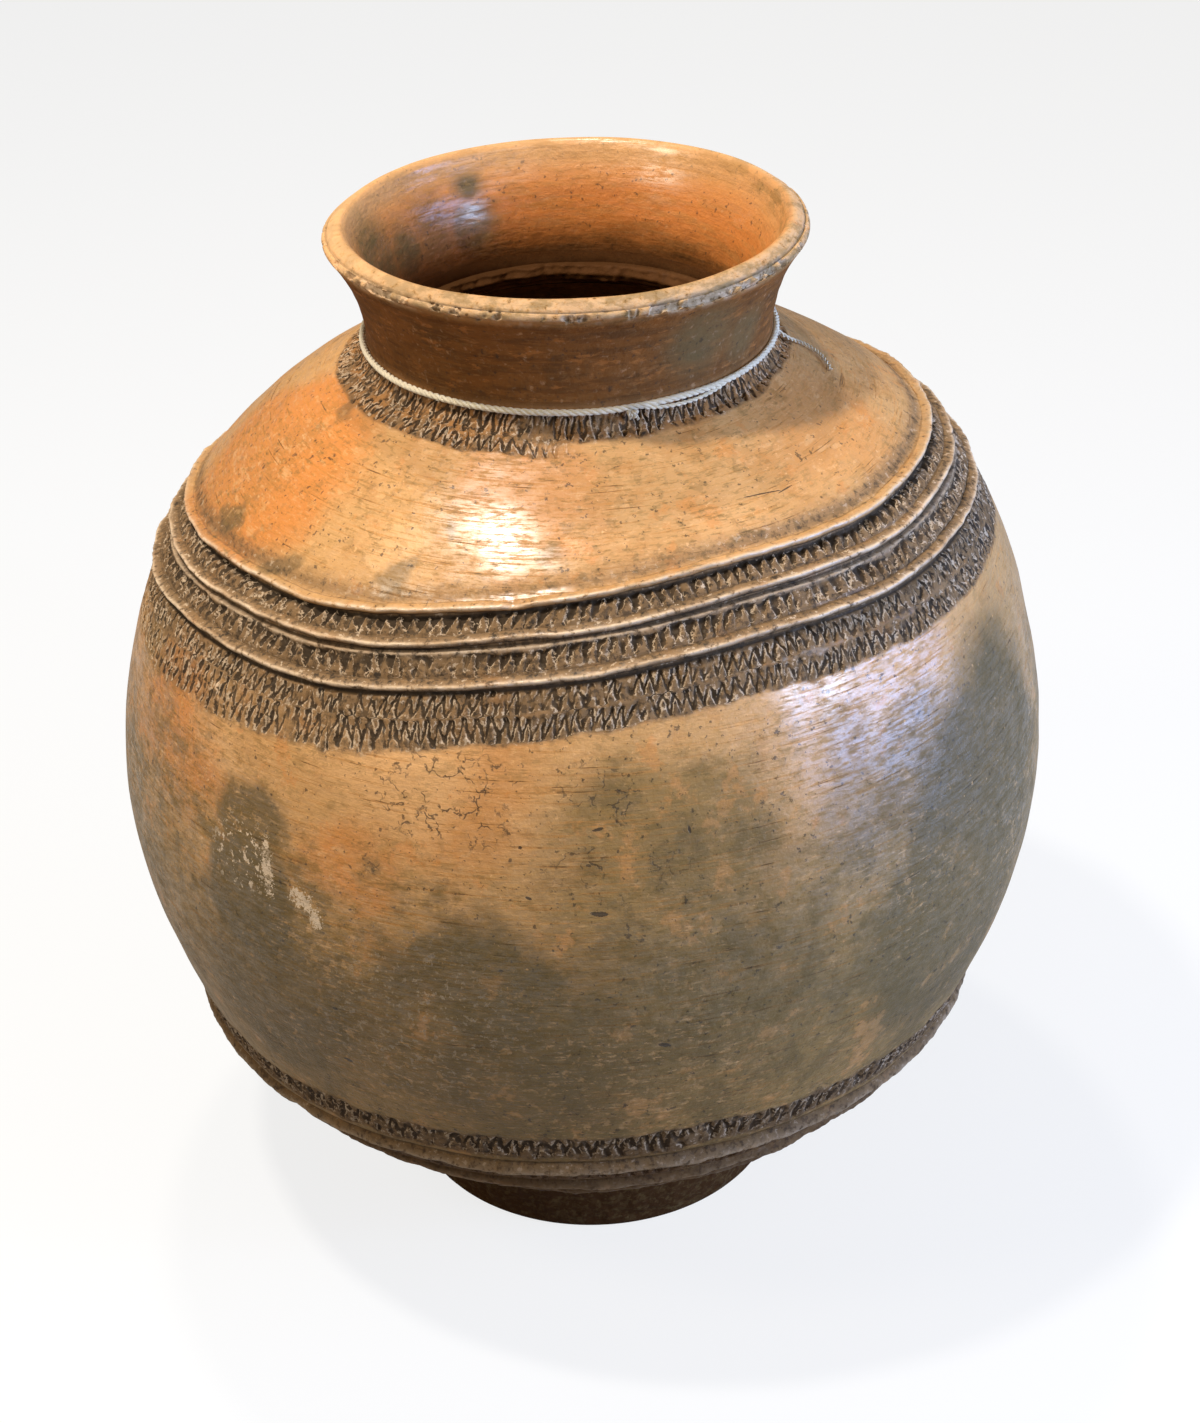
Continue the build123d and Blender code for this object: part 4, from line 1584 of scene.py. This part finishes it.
def set_lamp(context, lamp, watts):
    """An area lamp that faces the jar."""
    data = bpy.data.lights.new(lamp.name + "_lamp", "AREA")
    data.shape = "RECTANGLE"
    data.size, data.size_y = lamp.size
    data.energy = watts
    data.color = lamp.color
    light = bpy.data.objects.new(lamp.name + "_lamp", data)
    context.scene.collection.objects.link(light)
    side, rise = np.radians(lamp.side), np.radians(lamp.rise)
    away = Vector((np.cos(rise) * np.cos(side), np.cos(rise) * np.sin(side), np.sin(rise)))
    light.location = LAMP_AIM + away * lamp.distance
    light.rotation_euler = away.to_track_quat("Z", "Y").to_euler()


# Burnished clay mirrors a room more than a white studio, so it finds only a part of the white.
GLOSS_SHARE = 0.05


def seen_directly(net):
    """1 for rays that should find the pale background: straight views, gloss and glass."""
    path = net.node("ShaderNodeLightPath", {}, {})
    outputs = path.socket.node.outputs
    names = ("Is Camera Ray", "Is Glossy Ray", "Is Transmission Ray")
    camera, glossy, through = (Socket(net.tree, outputs[name]) for name in names)
    return camera.top(glossy * GLOSS_SHARE).top(through)


class JAR_OT_stage(bpy.types.Operator):
    """Sets the pale floor, the soft lamps and the camera"""

    bl_idname = "jar.stage"
    bl_label = "Stage"

    def execute(self, context):
        stage = context.scene.jar_stage
        context.scene.view_settings.view_transform = "Standard"
        set_camera(context, stage)
        for lamp in LAMPS:
            set_lamp(context, lamp, getattr(stage, lamp.name + "_watts"))

        mesh = bpy.data.meshes.new("floor")
        corners = [(-1, -1), (1, -1), (1, 1), (-1, 1)]
        mesh.from_pydata([(x * FLOOR_REACH, y * FLOOR_REACH, 0) for x, y in corners], [], [(0, 1, 2, 3)])
        floor = bpy.data.objects.new("floor", mesh)
        context.scene.collection.objects.link(floor)
        material, net = new_material("pale_floor")
        seen = seen_directly(net)
        shade = tuple(FLOOR_SHADE * value for value in stage.floor)
        color = net.mix(shade, stage.floor, seen)
        matte = net.node("ShaderNodeBsdfDiffuse", {}, {"Color": color})
        glow = net.node("ShaderNodeEmission", {}, {"Color": WHITE, "Strength": 1.0})
        mixed = net.node("ShaderNodeMixShader", {}, {0: seen * FLOOR_GLOW, 1: matte, 2: glow})
        net.node("ShaderNodeOutputMaterial", {}, {"Surface": mixed})
        mesh.materials.append(material)

        world = bpy.data.worlds.new("studio")
        context.scene.world = world
        world.use_nodes = True
        world.node_tree.nodes.clear()
        net = Socket(world.node_tree)
        even = net.node("ShaderNodeBackground", {}, {"Color": (1.0, 0.97, 0.93), "Strength": stage.sky})
        white = net.node("ShaderNodeBackground", {}, {"Color": WHITE, "Strength": BACKDROP})
        mixed = net.node("ShaderNodeMixShader", {}, {0: seen_directly(net), 1: even, 2: white})
        net.node("ShaderNodeOutputWorld", {}, {"Surface": mixed})
        return {"FINISHED"}


OPERATORS = (JAR_OT_stage, JAR_OT_twine, JAR_OT_globe, JAR_OT_foot, JAR_OT_neck, JAR_OT_cordons)
GROUPS = {"jar_shape": JarShape, "jar_clay": JarClay, "jar_twine": JarTwine, "jar_stage": JarStage}


class JAR_PT_sidebar(bpy.types.Panel):
    """Lists the jar's steps and sizes"""

    bl_idname = "JAR_PT_sidebar"
    bl_label = "Burnished Jar"
    bl_space_type = "VIEW_3D"
    bl_region_type = "UI"
    bl_category = "Burnished Jar"

    def draw(self, context):
        for operator in OPERATORS:
            self.layout.operator(operator.bl_idname)
        for group in GROUPS:
            values = getattr(context.scene, group)
            box = self.layout.box()
            for name in values.__annotations__:
                box.prop(values, name)


def register():
    for name, group in GROUPS.items():
        bpy.utils.register_class(group)
        setattr(bpy.types.Scene, name, PointerProperty(type=group))
    for operator in OPERATORS:
        bpy.utils.register_class(operator)
    bpy.utils.register_class(JAR_PT_sidebar)


def unregister():
    bpy.utils.unregister_class(JAR_PT_sidebar)
    for operator in reversed(OPERATORS):
        bpy.utils.unregister_class(operator)
    for name, group in reversed(GROUPS.items()):
        delattr(bpy.types.Scene, name)
        bpy.utils.unregister_class(group)


def main():
    register()
    bpy.ops.jar.stage()
    bpy.ops.jar.twine()
    bpy.ops.jar.globe()
    bpy.ops.jar.foot()
    bpy.ops.jar.neck()
    bpy.ops.jar.cordons()


if __name__ == "__main__":
    main()
